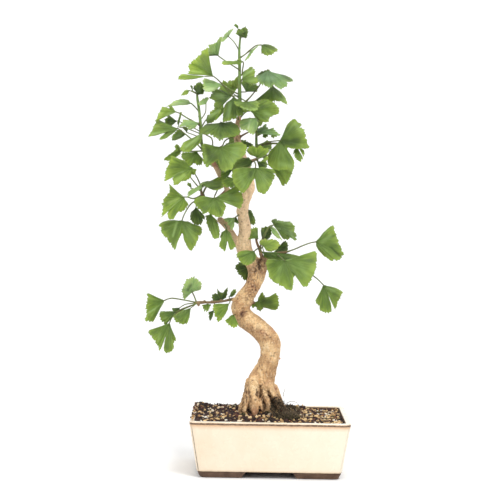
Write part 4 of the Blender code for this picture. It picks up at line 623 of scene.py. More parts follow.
def glaze_finish():
    """Cream glaze, thin and brown where it breaks over the rim and corners."""
    f = Finish("cream_glaze", 0.24)
    p = f.coords()
    x, y, z = f.split(p)
    x = f.math("SUBTRACT", x, POT_MID[0] * 1000)
    blur = f.noise(p, 9.0, 4.0)
    fine = f.noise(p, 2.2, 3.0)
    shift = f.math("ADD", f.math("MULTIPLY", f.math("SUBTRACT", blur, 0.5), 1.0),
                   f.math("MULTIPLY", f.math("SUBTRACT", fine, 0.5), 0.7))
    height = f.math("ADD", z, shift)
    cream = f.mix(f.remap(f.noise(p, 34.0, 3.0), 0.35, 0.65), GLAZE_LIGHT, GLAZE_WARM)
    # painted light: the glaze is paler towards the right, the side the key light falls on
    cream = f.mix(f.remap(x, -100.0, 100.0, 0.0, 0.7), cream, GLAZE_LIT_SIDE)
    # pinholes and iron specks
    speck = f.math("LESS_THAN", f.cells(p, 5.5), f.math("MULTIPLY", f.noise(p, 3.0, 0.0), 0.11))
    cream = f.mix(f.math("MULTIPLY", speck, 0.35), cream, srgb(196, 160, 120))
    cloud = f.remap(f.noise(p, 5.0, 5.0, 0.7), 0.52, 0.75)
    cream = f.mix(f.math("MULTIPLY", cloud, 0.12), cream, srgb(236, 208, 178))
    # the rim, downwards: a light lip, a brown break, a tan fade
    rim = f.node("MapRange", {"Value": height, "From Min": POT_HEIGHT - 14.0, "From Max": POT_HEIGHT}).outputs[0]
    tan = f.ramp(rim, [(0.0, (0, 0, 0)), (0.25, (0.0,) * 3), (0.5, (0.3,) * 3), (0.68, (0.85,) * 3), (0.9, (0.7,) * 3), (0.95, (0, 0, 0))])
    brown = f.ramp(rim, [(0.0, (0, 0, 0)), (0.70, (0, 0, 0)), (0.75, (0.95,) * 3), (0.85, (1.0,) * 3), (0.875, (0.7,) * 3), (0.905, (0, 0, 0))])
    colour = f.mix(tan, cream, GLAZE_TAN)
    streak = f.remap(f.noise(f.stretch(p, (1.0, 1.0, 0.25)), 3.0, 3.0), 0.3, 0.55, 0.75, 1.0)
    colour = f.mix(f.math("MULTIPLY", f.node("RGBToBW", {0: brown}).outputs[0], streak), colour, GLAZE_BREAK)
    # the upright corners
    k = f.math("DIVIDE", f.math("SUBTRACT", z, FOOT_HEIGHT), POT_HEIGHT - FOOT_HEIGHT)
    half_x = f.math("ADD", f.math("MULTIPLY", k, (POT_LENGTH - BASE_LENGTH) / 2), BASE_LENGTH / 2 - CORNER_R)
    half_y = f.math("ADD", f.math("MULTIPLY", k, (POT_WIDTH - BASE_WIDTH) / 2), BASE_WIDTH / 2 - CORNER_R)
    cx = f.math("SUBTRACT", f.math("ABSOLUTE", x), half_x)
    cy = f.math("SUBTRACT", f.math("ABSOLUTE", y), half_y)
    off = f.math("ABSOLUTE", f.math("SUBTRACT", cx, f.math("SUBTRACT", cy, 0.6)))
    in_corner = f.math("GREATER_THAN", f.math("MINIMUM", cx, cy), 1.5)
    line = f.remap(f.math("ADD", off, f.math("MULTIPLY", f.math("SUBTRACT", fine, 0.5), 1.2)), 0.5, 1.5, 1.0, 0.0)
    line = f.math("MULTIPLY", line, in_corner)
    worn = f.math("MULTIPLY", f.remap(f.noise(f.stretch(p, (1.0, 1.0, 0.3)), 8.0, 2.0), 0.36, 0.56, 0.3, 1.0),
                  f.remap(x, -60.0, 60.0, 0.95, 0.22))
    colour = f.mix(f.math("MULTIPLY", line, worn), colour, GLAZE_CORNER)
    # the thin lower edge of the glaze
    edge = f.remap(height, FOOT_HEIGHT + 0.2, FOOT_HEIGHT + 2.6, 0.7, 0.0)
    colour = f.mix(edge, colour, srgb(214, 186, 150))
    clay, clay_rough = clay_colour(f, p)
    bare = f.remap(height, FOOT_HEIGHT - 0.1, FOOT_HEIGHT + 0.25, 1.0, 0.0)
    colour = f.mix(bare, colour, clay)
    f.set(colour=colour, rough=f.math("ADD", f.remap(f.noise(p, 14.0, 3.0), 0.3, 0.7, 0.2, 0.32), f.math("MULTIPLY", bare, 0.55)))
    height_map = f.math("ADD", f.math("MULTIPLY", f.noise(p, 30.0, 2.0), 0.8), f.math("MULTIPLY", f.noise(p, 2.5, 3.0), 0.05))
    height_map = f.math("SUBTRACT", height_map, f.math("MULTIPLY", speck, 0.05))
    f.set(normal=f.bump(height_map, 1.0))
    f.shader.inputs["Specular IOR Level"].default_value = 0.55
    f.shader.inputs["Coat Weight"].default_value = 0.25
    f.shader.inputs["Coat Roughness"].default_value = 0.12
    return f.mat


def clay_colour(f, p):
    grain = f.noise(p, 1.2, 4.0, 0.7)
    colour = f.mix(f.remap(f.noise(p, 12.0, 4.0), 0.35, 0.65), CLAY_DARK, CLAY_LIGHT)
    colour = f.mix(f.remap(grain, 0.35, 0.7, 0.0, 0.45), colour, srgb(58, 42, 34))
    return colour, grain


def clay_finish():
    f = Finish("bare_clay", 0.85)
    p = f.coords()
    colour, grain = clay_colour(f, p)
    f.set(colour=colour, normal=f.bump(grain, 0.35))
    return f.mat


def make_pot():
    lip = 1.5
    rings = []
    foot = (BASE_LENGTH - 2 * FOOT_TAPER, BASE_WIDTH - 2 * FOOT_TAPER)
    rings.append(rounded(foot[0] - 1.2, foot[1] - 1.2, CORNER_R, 0.0))
    rings.append(rounded(foot[0] - 0.3, foot[1] - 0.3, CORNER_R, 0.35))
    rings.append(rounded(foot[0], foot[1], CORNER_R, 0.9))
    for z, grow in ((FOOT_HEIGHT - 1.9, -2.2), (FOOT_HEIGHT - 0.9, -2.4), (FOOT_HEIGHT - 0.35, -1.7),
                    (FOOT_HEIGHT - 0.1, -0.8), (FOOT_HEIGHT + 0.3, -0.25)):
        rings.append(rounded(BASE_LENGTH + grow, BASE_WIDTH + grow, CORNER_R, z))
    for z in np.linspace(FOOT_HEIGHT + 1.2, POT_HEIGHT - lip, 12):
        lx, ly = pot_size(z)
        rings.append(rounded(lx, ly, CORNER_R, z))
    lx, ly = pot_size(POT_HEIGHT - lip)
    for i in range(1, 7):
        a = math.radians(15 * i)
        inset = 2 * lip * (1 - math.cos(a))
        rings.append(rounded(lx - inset, ly - inset, CORNER_R - inset / 4, POT_HEIGHT - lip + lip * math.sin(a)))
    ix, iy = POT_LENGTH - 2 * RIM_THICK, POT_WIDTH - 2 * RIM_THICK
    for i in range(0, 7):
        a = math.radians(90 - 15 * i)
        out = 2 * lip * (1 - math.cos(a))
        rings.append(rounded(ix + out, iy + out, 6 + out / 4, POT_HEIGHT - lip + lip * math.sin(a)))
    floor = FOOT_HEIGHT + FLOOR_THICK
    low = pot_size(floor)
    rings.append(rounded(low[0] - 2 * RIM_THICK, low[1] - 2 * RIM_THICK, 8, floor + 4))
    rings.append(rounded(low[0] - 2 * RIM_THICK - 2.4, low[1] - 2 * RIM_THICK - 2.4, 8.4, floor + 1.2))
    rings.append(rounded(low[0] - 2 * RIM_THICK - 8, low[1] - 2 * RIM_THICK - 8, 9, floor))
    verts, faces = loft(rings)
    faces = outward(verts, faces)
    pot = make("pot_glazed", verts, faces, [glaze_finish(), clay_finish()], node="pot")

    def cutter(name, shape):
        v, fs = shape
        mesh = bpy.data.meshes.new(name)
        mesh.from_pydata([tuple(q) for q in place(v).tolist()], [], outward(v, fs))
        tool = bpy.data.objects.new(name, mesh)
        bpy.context.scene.collection.objects.link(tool)
        cut = pot.modifiers.new(name, "BOOLEAN")
        cut.operation, cut.solver, cut.object = "DIFFERENCE", "EXACT", tool
        return tool

    def bar(top, bottom, along, reach):
        spread = (bottom - top) / FOOT_HEIGHT
        low_half = bottom / 2 + spread
        h = FOOT_HEIGHT - 0.5
        # the arch's top corners are worked round with a wet finger
        half = [(-low_half, -2.0), (-top / 2 - 1.2, h - 2.2), (-top / 2 - 0.3, h - 0.7), (-top / 2 + 1.2, h)]
        section = half + [(-a, z) for a, z in reversed(half)]
        if along == "y":
            return loft([[(a, y, z) for a, z in section] for y in (-reach, reach)])
        return loft([[(x, a, z) for a, z in section] for x in (-reach, reach)])

    under = (BASE_LENGTH - 2 * FOOT_TAPER - 2 * FOOT_BAND, BASE_WIDTH - 2 * FOOT_TAPER - 2 * FOOT_BAND)
    tools = [cutter("cut_under", loft([rounded(under[0] + 1.6, under[1] + 1.6, 5.4, -4), rounded(*under, 5, 2.0),
                                       rounded(*under, 5, FOOT_HEIGHT - 1.2), rounded(under[0] - 1.6, under[1] - 1.6, 4.4, FOOT_HEIGHT - 0.5)])),
             cutter("cut_arch_front", bar(*ARCH_FRONT, "y", 90)),
             cutter("cut_arch_side", bar(*ARCH_SIDE, "x", 120))]
    for name, x in (("cut_drain_left", -DRAIN_X), ("cut_drain_right", DRAIN_X)):
        ring = [(math.cos(2 * math.pi * i / 40), math.sin(2 * math.pi * i / 40)) for i in range(40)]
        tools.append(cutter(name, loft([[(x + (DRAIN_R + g) * a, (DRAIN_R + g) * b, z) for a, b in ring]
                                        for g, z in ((1.2, FOOT_HEIGHT - 2.0), (0.9, FOOT_HEIGHT - 0.5), (0.2, FOOT_HEIGHT + 0.4), (0.0, FOOT_HEIGHT + 1.2), (0.0, floor + 5))])))
    graph = bpy.context.evaluated_depsgraph_get()
    mesh = bpy.data.meshes.new_from_object(pot.evaluated_get(graph))
    pot.modifiers.clear()
    pot.data = mesh
    for tool in tools:
        bpy.data.objects.remove(tool)
    # soften the cut edges, as a sponge leaves them
    bm = bmesh.new()
    bm.from_mesh(mesh)
    bmesh.ops.remove_doubles(bm, verts=bm.verts, dist=2e-6)
    sharp = [e for e in bm.edges if e.is_manifold and e.calc_face_angle(0) > math.radians(42)
             and max(v.co.z for v in e.verts) < 0.0095]
    if sharp:
        bmesh.ops.bevel(bm, geom=sharp, offset=0.0006, segments=2, affect="EDGES", clamp_overlap=True)
    bm.to_mesh(mesh)
    bm.free()
    # bare clay underneath and inside, glaze outside and over the rim
    for poly in mesh.polygons:
        c = poly.center * 1000
        x, y = abs(c.x - POT_MID[0] * 1000), abs(c.y - POT_MID[1] * 1000)
        lx, ly = pot_size(c.z)
        outside = x > lx / 2 - 3.4 or y > ly / 2 - 3.4
        poly.material_index = 0 if ((outside and c.z > 7.8) or c.z > POT_HEIGHT - 9) else 1
    mesh.polygons.foreach_set("use_smooth", [True] * len(mesh.polygons))
    mesh.set_sharp_from_angle(angle=math.radians(34))
    return pot


def finish_screens():
    f = Finish("black_mesh", 0.55)
    p = f.coords()
    f.set(colour=f.mix(f.noise(p, 4.0, 3.0), srgb(28, 28, 29), srgb(46, 44, 42)),
          normal=f.bump(f.noise(p, 0.5, 2.0), 0.08))
    for name in ("drain_screen_left", "drain_screen_right"):
        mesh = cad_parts[name].data
        mesh.materials.clear()
        mesh.materials.append(f.mat)


# ------------------------------------------------------------------------- wood
# surface roots as they show from the front: u, v, depth y, radius in sheet units
FRONT_ROOTS = [
    [(260.5, 380, -12, 2.0), (262.6, 386, -17, 2.2), (263.8, 391, -22, 2.4), (265.4, 396, -26.5, 2.5),
     (267.6, 401.5, -31, 2.3), (270.0, 407.5, -35, 2.0), (272.6, 413, -39, 1.3)],
    [(254, 377, -11, 4.4), (253.6, 386, -18, 5.2), (254.2, 395, -24, 5.3), (254.6, 404, -29, 4.8),
     (255, 411, -33, 3.6), (255, 416, -36, 2.2)],
    [(268.5, 382, -10, 3.4), (272, 391, -16, 3.4), (275.6, 398, -21, 3.0), (280, 403, -25, 2.5),
     (285, 408, -28, 1.7)],
    [(249.5, 380, -6, 3.6), (247.4, 390, -9, 3.8), (244.9, 399, -12, 3.6), (242.0, 406.5, -14, 3.2),
     (240.2, 413, -16, 2.4)],
    [(250, 388, -14, 3.6), (247.8, 397, -20, 3.7), (245.8, 405, -25, 3.0), (244, 412, -29, 1.8)],
    [(274, 386, 0, 3.0), (277.8, 395, 0, 2.9), (281.6, 402, -2, 2.3), (285, 407.5, -4, 1.5)],
    [(262.5, 396, -24, 1.4), (261, 403, -30, 1.6), (262.5, 410, -36, 1.2)],
]
# roots at the sides and back: direction (degrees, 0 = right, 90 = back), reach
# and girth in mm
BACK_ROOTS = [(20, 26, 4.6), (48, 31, 5.4), (78, 37, 5.0), (106, 34, 6.4), (137, 38, 5.2), (164, 34, 5.6), (190, 31, 4.2)]
# marks in the bark: polyline (u, v), width in sheet units, depth in mm (minus
# = raised), darkness, redness
# darkness is partly the bark's own dark and partly painted shade in a sunken mark; minus paints a highlight on a raised
# one
MARKS = [
    ([(242.6, 313.8), (243.7, 312.6)], 2.0, 1.8, 0.9, 0.9),
    ([(240.6, 309), (241.2, 305.6), (244, 303.8), (247, 305.4), (247.6, 308.8), (245, 311)], 0.8, -0.5, -0.25, 0),
    ([(242.2, 307), (244.4, 305.8), (246, 307.6)], 0.6, 0.5, 0.5, 0),
    ([(259.5, 331), (262.6, 330.2), (265.4, 331.6)], 0.85, 0.8, 0.7, 0.5),
    ([(261, 334.4), (264.6, 333.6), (268, 335.4)], 0.9, 0.8, 0.65, 0.5),
    ([(264, 338.4), (267, 337.4), (270.6, 339.6)], 0.8, 0.5, 0.45, 0),
    ([(259.2, 362), (259.6, 362.3)], 0.9, 0.6, 0.8, 0.2),
    ([(243.6, 386.4), (244.4, 390), (246, 393.6), (246.6, 397.6), (246, 402)], 0.75, 1.4, 0.9, 0.1),
    ([(249.6, 392), (250.2, 399), (249.8, 406), (250.4, 412)], 0.8, 1.1, 0.6, 0.1),
    ([(257.2, 391.6), (258.6, 394.8), (260.6, 397.4), (263, 400.4), (264, 405), (263.4, 410)], 1.1, 2.2, 1.0, 0.15),
    ([(259.6, 386), (260.2, 392), (261.4, 396)], 0.6, 0.9, 0.55, 0.1),
    ([(268.6, 391), (269.8, 397), (272.6, 403.6), (275, 409)], 0.9, 1.5, 0.85, 0.1),
    ([(275.2, 387.4), (276, 390)], 1.3, 0.5, 0.25, 0.8),
    ([(277.4, 394), (279.6, 398.6), (283, 402)], 0.8, 1.2, 0.7, 0.2),
    ([(262.4, 256), (260.6, 262), (258.8, 268.4)], 1.0, 1.4, 0.95, 0.1),
    ([(247, 281.4), (250.4, 283.4), (253.4, 286.6), (256.6, 289)], 1.0, 0.9, 0.7, 0.6),
    ([(247.6, 287.4), (250.8, 288.2), (253, 291.6)], 0.9, 0.8, 0.65, 0.5),
    ([(248.6, 290.6), (251.6, 289), (254.8, 290.8)], 0.7, 0.5, 0.45, 0),
    ([(254, 295), (250.8, 298.4), (247.4, 299.6)], 0.6, 0.4, 0.4, 0),
    ([(272, 345), (275.6, 344.4)], 0.6, 0.3, 0.4, 0),
    ([(262.6, 352), (264.2, 357), (263.4, 363)], 0.5, 0.3, 0.35, 0),
    ([(268.2, 348), (269.4, 356), (268.4, 366), (266.4, 374)], 0.6, 0.35, 0.3, 0),
    ([(272.4, 360), (271.4, 370), (270, 380)], 0.6, 0.4, 0.35, 0),
    ([(240.2, 211), (243.6, 210), (247, 211)], 0.7, 0.6, 0.5, 0.2),
    ([(241.4, 225), (244.4, 224.2), (248, 225.2)], 0.6, 0.35, 0.35, 0),
    ([(240.8, 236), (244.6, 235), (249, 236.2)], 0.6, 0.35, 0.35, 0),
    ([(238.8, 246), (242, 244.6), (246.6, 246)], 0.6, 0.4, 0.35, 0),
    ([(247, 263.6), (251, 262.2), (256, 264)], 0.6, 0.35, 0.35, 0),
]


def bark_finish():
    f = Finish("tan_bark", 0.78)
    p = f.coords()
    dirt, red, young = f.value("dirt"), f.value("red"), f.value("young")
    broad = f.noise(p, 16.0, 4.0, 0.6)
    colour = f.ramp(broad, [(0.25, BARK_SHADE), (0.45, BARK_TAN), (0.6, BARK_LIGHT), (0.78, BARK_PALE)])
    # long faint fissures and short cross lines
    long_way = f.noise(f.stretch(p, (1.0, 1.0, 0.16)), 1.6, 4.0, 0.65, 0.6)
    fissure = f.remap(long_way, 0.52, 0.66)
    cross = f.remap(f.noise(f.stretch(p, (0.35, 0.35, 1.8)), 2.6, 3.0, 0.6), 0.56, 0.68)
    speck = f.remap(f.noise(f.stretch(p, (1.0, 1.0, 0.7)), 1.9, 3.0, 0.75), 0.53, 0.66)
    colour = f.mix(f.math("MULTIPLY", fissure, 0.5), colour, BARK_DEEP)
    colour = f.mix(f.math("MULTIPLY", cross, 0.3), colour, BARK_DEEP)
    colour = f.mix(f.math("MULTIPLY", speck, 0.55), colour, srgb(126, 88, 56))
    pale = f.remap(f.noise(p, 2.3, 3.0, 0.75), 0.54, 0.68)
    colour = f.mix(f.math("MULTIPLY", pale, 0.55), colour, srgb(250, 232, 200))
    height_mm = f.split(p)[2]
    colour = f.mix(f.remap(height_mm, 250.0, 300.0, 0.0, 0.34), colour, srgb(248, 228, 196))
    colour = f.mix(f.math("MULTIPLY", young, 0.9), colour, f.mix(f.noise(p, 2.0, 3.0), srgb(124, 104, 70), srgb(84, 66, 44)))
    colour = f.mix(f.math("MULTIPLY", red, 0.8), colour, srgb(150, 84, 62))
    # the attribute darkens the bark with dirt and flecks, and with painted shade in crevices, sunken marks and on the
    # side turned from the key light
    colour = f.mix(f.math("MULTIPLY", dirt, 0.9, clamp=True), colour, srgb(58, 36, 24))
    height = f.math("ADD", f.math("MULTIPLY", long_way, -0.8), f.math("MULTIPLY", f.noise(p, 0.7, 3.0, 0.7), 0.35))
    height = f.math("ADD", height, f.math("MULTIPLY", cross, -0.3))
    f.set(colour=colour, rough=f.remap(broad, 0.3, 0.7, 0.7, 0.88), normal=f.bump(height, 0.55))
    return f.mat


def wood_tubes():
    """The wood as overlapping tubes, and the points along their middles."""
    shapes, middles = [], []

    def add(path, sides=14, uneven=0.03, turn=0.0):
        shapes.append(tube(path, sides, uneven, turn))
        middles.extend([tuple(row) for row in path])

    main = sheet_path(TRUNK, 3)
    add([(main[0][0], main[0][1], POT_HEIGHT - 24, main[0][3] * 0.8), (main[0][0], main[0][1], POT_HEIGHT - 10, main[0][3])]
        + [p for p in main if p[2] > POT_HEIGHT - 6], 28, 0.03)
    for name, rows in LIMBS.items():
        if name == "left_stub":
            rows = [(*q[:3], q[3] * 1.2) for q in rows]
        if name == "spur":
            rows = [(u, v + (3.6 if 202 < u < 222 else 0.6), y, r) for u, v, y, r in rows]
        add(sheet_path(rows, 4), 12, 0.04, 0.21)
    for rows in FRONT_ROOTS:
        add(sheet_path(rows, 4), 10, 0.07)
    for number, (angle, reach, girth) in enumerate(BACK_ROOTS):
        a = math.radians(angle)
        rows = []
        for share, rise, thick in ((0.15, 40, 0.9), (0.34, 27, 1.0), (0.55, 15, 0.95),
                                   (0.78, 6.4, 0.7), (1.0, 0.6, 0.35)):
            wander = 5.0 * math.sin(2.1 * number + 3.3 * share) * share
            rows.append((TRUNK_X + reach * share * math.cos(a) - wander * math.sin(a),
                         TRUNK_Y + reach * share * math.sin(a) + wander * math.cos(a),
                         POT_HEIGHT + rise, girth * thick))
        add(smooth(rows, 5), 10, 0.07)
    for centre, radius in KNOBS:
        shapes.append(knob(np.array(at(*centre)), radius * UNIT))
    return shapes, np.array(middles)


# short spurs and buds on the wood: (u, v, depth), radius in sheet units
KNOBS = [((200.6, 189.6, -20), 1.7), ((203.6, 194.8, -19), 1.5), ((196.4, 302.6, -13), 2.0), ((198.6, 305.4, -12), 1.3),
         ((204.6, 301.4, -10), 1.5), ((212, 301.4, -6), 1.4), ((221, 300.2, -1), 1.5), ((209, 157.8, -16), 1.6),
         ((215.4, 166.4, -14.5), 2.2), ((222.4, 181, -12.5), 2.3), ((231.6, 194, -10), 2.5), ((256.4, 240.4, 1), 1.5),
         ((266.4, 255, 5), 1.8), ((286, 252, 0), 1.4), ((278, 252.6, 2), 1.4), ((219.4, 219.6, -6), 2.5),
         ((240.6, 149, -3), 3.2), ((242.4, 160.6, -5), 3.4), ((256.8, 158.8, 5), 1.8), ((237.4, 136, -2), 2.9),
         ((239.4, 121, 0), 2.4), ((249, 131.8, -7), 1.2), ((279.8, 358.6, -4), 1.5), ((244.4, 307.4, -6), 2.6)]


def knob(centre, radius):
    rings = []
    for lift, wide in ((-0.9, 0.35), (-0.5, 0.85), (0.0, 1.0), (0.5, 0.85), (0.9, 0.35)):
        rings.append([tuple(centre + radius * np.array((wide * math.cos(a), wide * math.sin(a), lift)))
                      for a in np.linspace(0, 2 * math.pi, 10, endpoint=False)])
    verts, faces = loft(rings)
    return verts, outward(verts, faces)


def make_trunk():
    shapes, middles = wood_tubes()
    verts, faces, _ = joined(shapes)
    rough = bpy.data.meshes.new("wood_rough")
    rough.from_pydata([tuple(p) for p in place(verts).tolist()], [], faces)
    helper = bpy.data.objects.new("wood_rough", rough)
    bpy.context.scene.collection.objects.link(helper)
    grow = helper.modifiers.new("fuse", "REMESH")
    grow.mode, grow.voxel_size, grow.use_smooth_shade = "VOXEL", WOOD_VOXEL / 1000, True
    graph = bpy.context.evaluated_depsgraph_get()
    fused = bpy.data.meshes.new_from_object(helper.evaluated_get(graph))
    bpy.data.objects.remove(helper)
    # keep the one body
    bm = bmesh.new()
    bm.from_mesh(fused)
    todo, groups = set(bm.verts), []
    while todo:
        seed = todo.pop()
        group, edge = [seed], [seed]
        while edge:
            v = edge.pop()
            for e in v.link_edges:
                w = e.other_vert(v)
                if w in todo:
                    todo.discard(w)
                    group.append(w)
                    edge.append(w)
        groups.append(group)
    groups.sort(key=len)
    for group in groups[:-1]:
        bmesh.ops.delete(bm, geom=group, context="VERTS")
    bm.to_mesh(fused)
    bm.free()
    pts, faces = mesh_points(fused)
    edges = np.empty(len(fused.edges) * 2, np.int32)
    fused.edges.foreach_get("vertices", edges)
    edges = edges.reshape(-1, 2)
    degree = np.bincount(edges.ravel(), minlength=len(pts))[:, None]
    # how thick the wood is here
    tree = KDTree(len(middles))
    for i, row in enumerate(middles):
        tree.insert(Vector(row[:3]), i)
    tree.balance()
    girth = np.empty(len(pts))
    for i, p in enumerate(pts):
        near = tree.find_n(Vector(p), 14)
        girth[i] = middles[min(near, key=lambda hit: hit[2] - middles[hit[1], 3])[1], 3]
    for _ in range(8):
        total = np.zeros(len(pts))
        np.add.at(total, edges[:, 0], girth[edges[:, 1]])
        np.add.at(total, edges[:, 1], girth[edges[:, 0]])
        girth = 0.5 * girth + 0.5 * total / degree[:, 0]
    for turn in range(5):
        total = np.zeros_like(pts)
        np.add.at(total, edges[:, 0], pts[edges[:, 1]])
        np.add.at(total, edges[:, 1], pts[edges[:, 0]])
        pull = 0.5 if turn % 2 == 0 else -0.42
        pts = pts + pull * (total / degree - pts)
    normal = normals_of(pts, faces)
    strong = np.clip(girth / 9.0, 0.12, 1.0)
    base = np.clip((POT_HEIGHT + 62 - pts[:, 2]) / 50, 0, 1)
    slow = pts * (1.0, 1.0, 0.45)
    lift = (0.55 * ripple(slow, 9.0, 3) + 0.32 * ripple(pts * (1, 1, 0.5), 3.6, 4) + 0.12 * ripple(pts, 1.7, 5)) * strong
    lift += base * (0.4 * ripple(pts * (1, 1, 0.22), 6.0, 6) + 0.2 * ripple(pts * (1, 1, 0.3), 2.6, 7)) * strong
    dirt = np.clip(-0.3 * ripple(pts * (1, 1, 0.25), 4.2, 8) - 0.15, 0, 1) * (0.35 + 0.6 * base)
    # painted shade: the undersides and the left flank, turned away from the key light, are darkened
    away_from_light = normals_of(pts, faces) @ np.array((-0.75, -0.1, -0.6))
    dirt += 0.28 * np.clip(away_from_light - 0.15, 0, 1) * (pts[:, 2] < POT_HEIGHT + 250)
    red = np.clip(ripple(pts, 14.0, 9) - 0.9, 0, 1) * 0.5
    # scaly bark in the crotch of the fork, round the bend and at the foot
    scaly = np.zeros(len(pts))
    for line, width, amount in SCALY:
        gap, _ = line_reach(seen_at(pts), line)
        scaly = np.maximum(scaly, amount * np.exp(-(gap / width) ** 2))
    lift += scaly * (0.55 * np.abs(ripple(pts * (1, 1, 0.7), 2.6, 31)) + 0.35 * ripple(pts, 1.4, 32) - 0.5)
    # painted shade: the hollows between the scales are darkened
    dirt += scaly * np.clip(0.5 - 0.75 * np.abs(ripple(pts * (1, 1, 0.7), 2.6, 31)), 0, 1) * 1.6
    # small dark flecks all over the older wood
    flecks = np.clip(ripple(pts * (1, 1, 0.7), 2.1, 33) - 1.0, 0, 1) * np.clip(girth / 6.0, 0, 1)
    dirt += 0.7 * flecks
    lift -= 0.3 * flecks
    # marks seen from the front
    uv = seen_at(pts)
    uv = uv + np.stack((0.7 * ripple(pts, 4.5, 21) + 0.35 * ripple(pts, 1.9, 22),
                        0.9 * ripple(pts, 5.5, 23) + 0.45 * ripple(pts, 2.2, 24)), axis=1)
    facing = normal @ np.array((0.0, -0.98, 0.18))
    front = np.clip(facing * 2.5, 0, 1)
    for line, width, depth, dark, ruddy in MARKS:
        gap, _ = line_reach(uv, line)
        # shallow marks come and go along their length
        worn = 1.0 if depth > 0.9 or depth < 0 else np.clip(0.45 + 0.6 * ripple(pts, 2.6, 25), 0, 1)
        hit = np.exp(-(gap / (width * (0.8 if depth < 0.9 else 1.0))) ** 2) * front * worn
        lift -= depth * hit
        # a sunken mark is darkened, partly as painted shade, and a raised one lightened as a painted highlight
        dirt = dirt + dark * (0.6 if depth < 0.7 else 1.0) * hit
        red = red + ruddy * hit
    for (u, v, reach, share) in RED_SPOTS:
        gap = np.hypot(uv[:, 0] - u, uv[:, 1] - v)
        red += share * np.exp(-(gap / reach) ** 2)
    # the same kind of marks round the back
    rng = np.random.default_rng(41)
    for _ in range(46):
        k = rng.integers(0, len(pts))
        if normal[k, 1] < 0.1 or pts[k, 2] < POT_HEIGHT + 4:
            continue
        size = rng.uniform(0.6, 1.6)
        d = (pts - pts[k]) * (0.7, 0.7, rng.choice((0.35, 1.6)))
        hit = np.exp(-((d ** 2).sum(axis=1)) / (2 * size ** 2))
        lift -= rng.uniform(0.2, 0.9) * hit
        # painted shade: each dent is darkened as well as sunk
        dirt = dirt + rng.uniform(0.2, 0.8) * hit
    # rings where last year's shoots began, on thin wood
    dirt += (0.35 * (np.sin(pts[:, 0] * 1.3 + 0.7 * pts[:, 2]) > 0.93)) * (girth < 3.6)
    pts = pts + normal * lift[:, None]
    # darker towards the foot, within about 9 mm of the rim
    dirt += 0.55 * np.clip((POT_HEIGHT + 9 + 2 * ripple(pts, 5.0, 10) - pts[:, 2]) / 9, 0, 1)
    young = np.clip((3.9 - girth) / 1.8, 0, 1) * (pts[:, 2] > POT_HEIGHT + 60)
    stub, _ = line_reach(seen_at(pts), [(237, 243), (228, 228.5), (219, 219)])
    young = np.maximum(young, 0.5 * np.exp(-(stub / 4.5) ** 2) * (girth < 4.8))
    trunk = make("trunk_wood", pts, faces, [bark_finish()], node="trunk",
                 values={"dirt": np.clip(dirt, 0, 1), "red": np.clip(red, 0, 1), "young": young})
    bpy.data.meshes.remove(fused)
    return trunk, BVHTree.FromPolygons([tuple(p) for p in pts], faces)


SCALY = [([(262, 254), (258, 268), (254, 282), (250, 296)], 7.5, 1.0), ([(236, 300), (240, 316), (250, 328)], 5.0, 0.55),
         ([(262, 332), (272, 344)], 5.0, 0.5), ([(244, 386), (243, 400), (240, 412)], 4.0, 0.9), ([(262, 386), (268, 400), (276, 410)], 6.0, 0.8),
         ([(247, 186), (250, 178)], 5.0, 0.6), ([(240, 120), (237, 140)], 4.0, 0.7)]
RED_SPOTS = [(252.5, 286.5, 5.0, 0.25), (264, 333, 4.5, 0.25), (238, 120.5, 4.5, 0.5), (236.5, 137.5, 4.5, 0.6), (214.5, 164, 4.5, 0.8), (219, 219.5, 3.0, 0.15),
             (262, 258, 4, 0.4), (275.5, 388.7, 2.2, 0.6)]


def shoot_finish():
    f = Finish("green_shoot", 0.5)
    p = f.coords()
    colour = f.ramp(f.noise(p, 7.0, 3.0), [(0.3, srgb(78, 106, 46)), (0.55, srgb(106, 134, 62)), (0.75, srgb(118, 122, 66))])
    colour = f.mix(f.remap(f.noise(p, 0.8, 2.0), 0.6, 0.7, 0.0, 0.6), colour, srgb(176, 176, 120))
    f.set(colour=colour, normal=f.bump(f.noise(f.stretch(p, (1, 1, 0.3)), 0.6, 3.0), 0.15), subsurface=0.08)
    f.shader.inputs["Subsurface Scale"].default_value = 0.0008
    return f.mat


def make_stems():
    """The green shoots, with little bud scale knobs spaced along them and one at the tip."""
    mat = shoot_finish()
    carriers = {}
    for name, rows in STEMS.items():
        path = sheet_path(rows, 6)
        last = path[-1]
        path = [(*q[:3], q[3] * 1.32) for q in path]
        shapes = [tube(path, 12, 0.05)]
        for i in range(2, len(path) - 1, 5):
            c = np.array(path[i][:3]) + 0.5 * path[i][3] * np.array((math.cos(2.4 * i), math.sin(2.4 * i), 0.3))
            shapes.append(knob(c, path[i][3] * 0.85))
        shapes.append(knob(np.array(last[:3]), last[3] * 1.2))
        verts, faces, _ = joined(shapes)
        make(name + "_shoot", verts, faces, [mat], node=name)
        carriers[name] = BVHTree.FromPolygons([tuple(p) for p in shapes[0][0]], shapes[0][1])
    return carriers


# ------------------------------------------------------------------ soil and moss
def soil_top(x, y):
    """Height of the soil's surface (mm), heaped towards the trunk."""
    hx, hy = POT_LENGTH / 2 - RIM_THICK, POT_WIDTH / 2 - RIM_THICK
    edge = np.maximum(np.abs(x) / hx, np.abs(y) / hy)
    fall = 1 - np.minimum(1, edge) ** 4
    heap = np.exp(-(((x - TRUNK_X) / 62) ** 2 + ((y - TRUNK_Y) / 52) ** 2))
    left_back = np.exp(-(((x + 55) / 40) ** 2 + ((y - 35) / 32) ** 2))
    banked = 4.2 * np.exp(-((x + 96) / 13) ** 2) + 4.3 * np.exp(-((y - 70) / 14) ** 2) * np.clip((58 - x) / 12, 0, 1)
    banked = banked + 3.4 * np.exp(-(((x - TRUNK_X) / 42) ** 2 + ((y + 30) / 22) ** 2)) - 0.3 * np.exp(-((x - 94) / 6) ** 2)
    return POT_HEIGHT - 2.0 + fall * (1.2 + SOIL_HEAP * heap + 2.2 * left_back) + banked


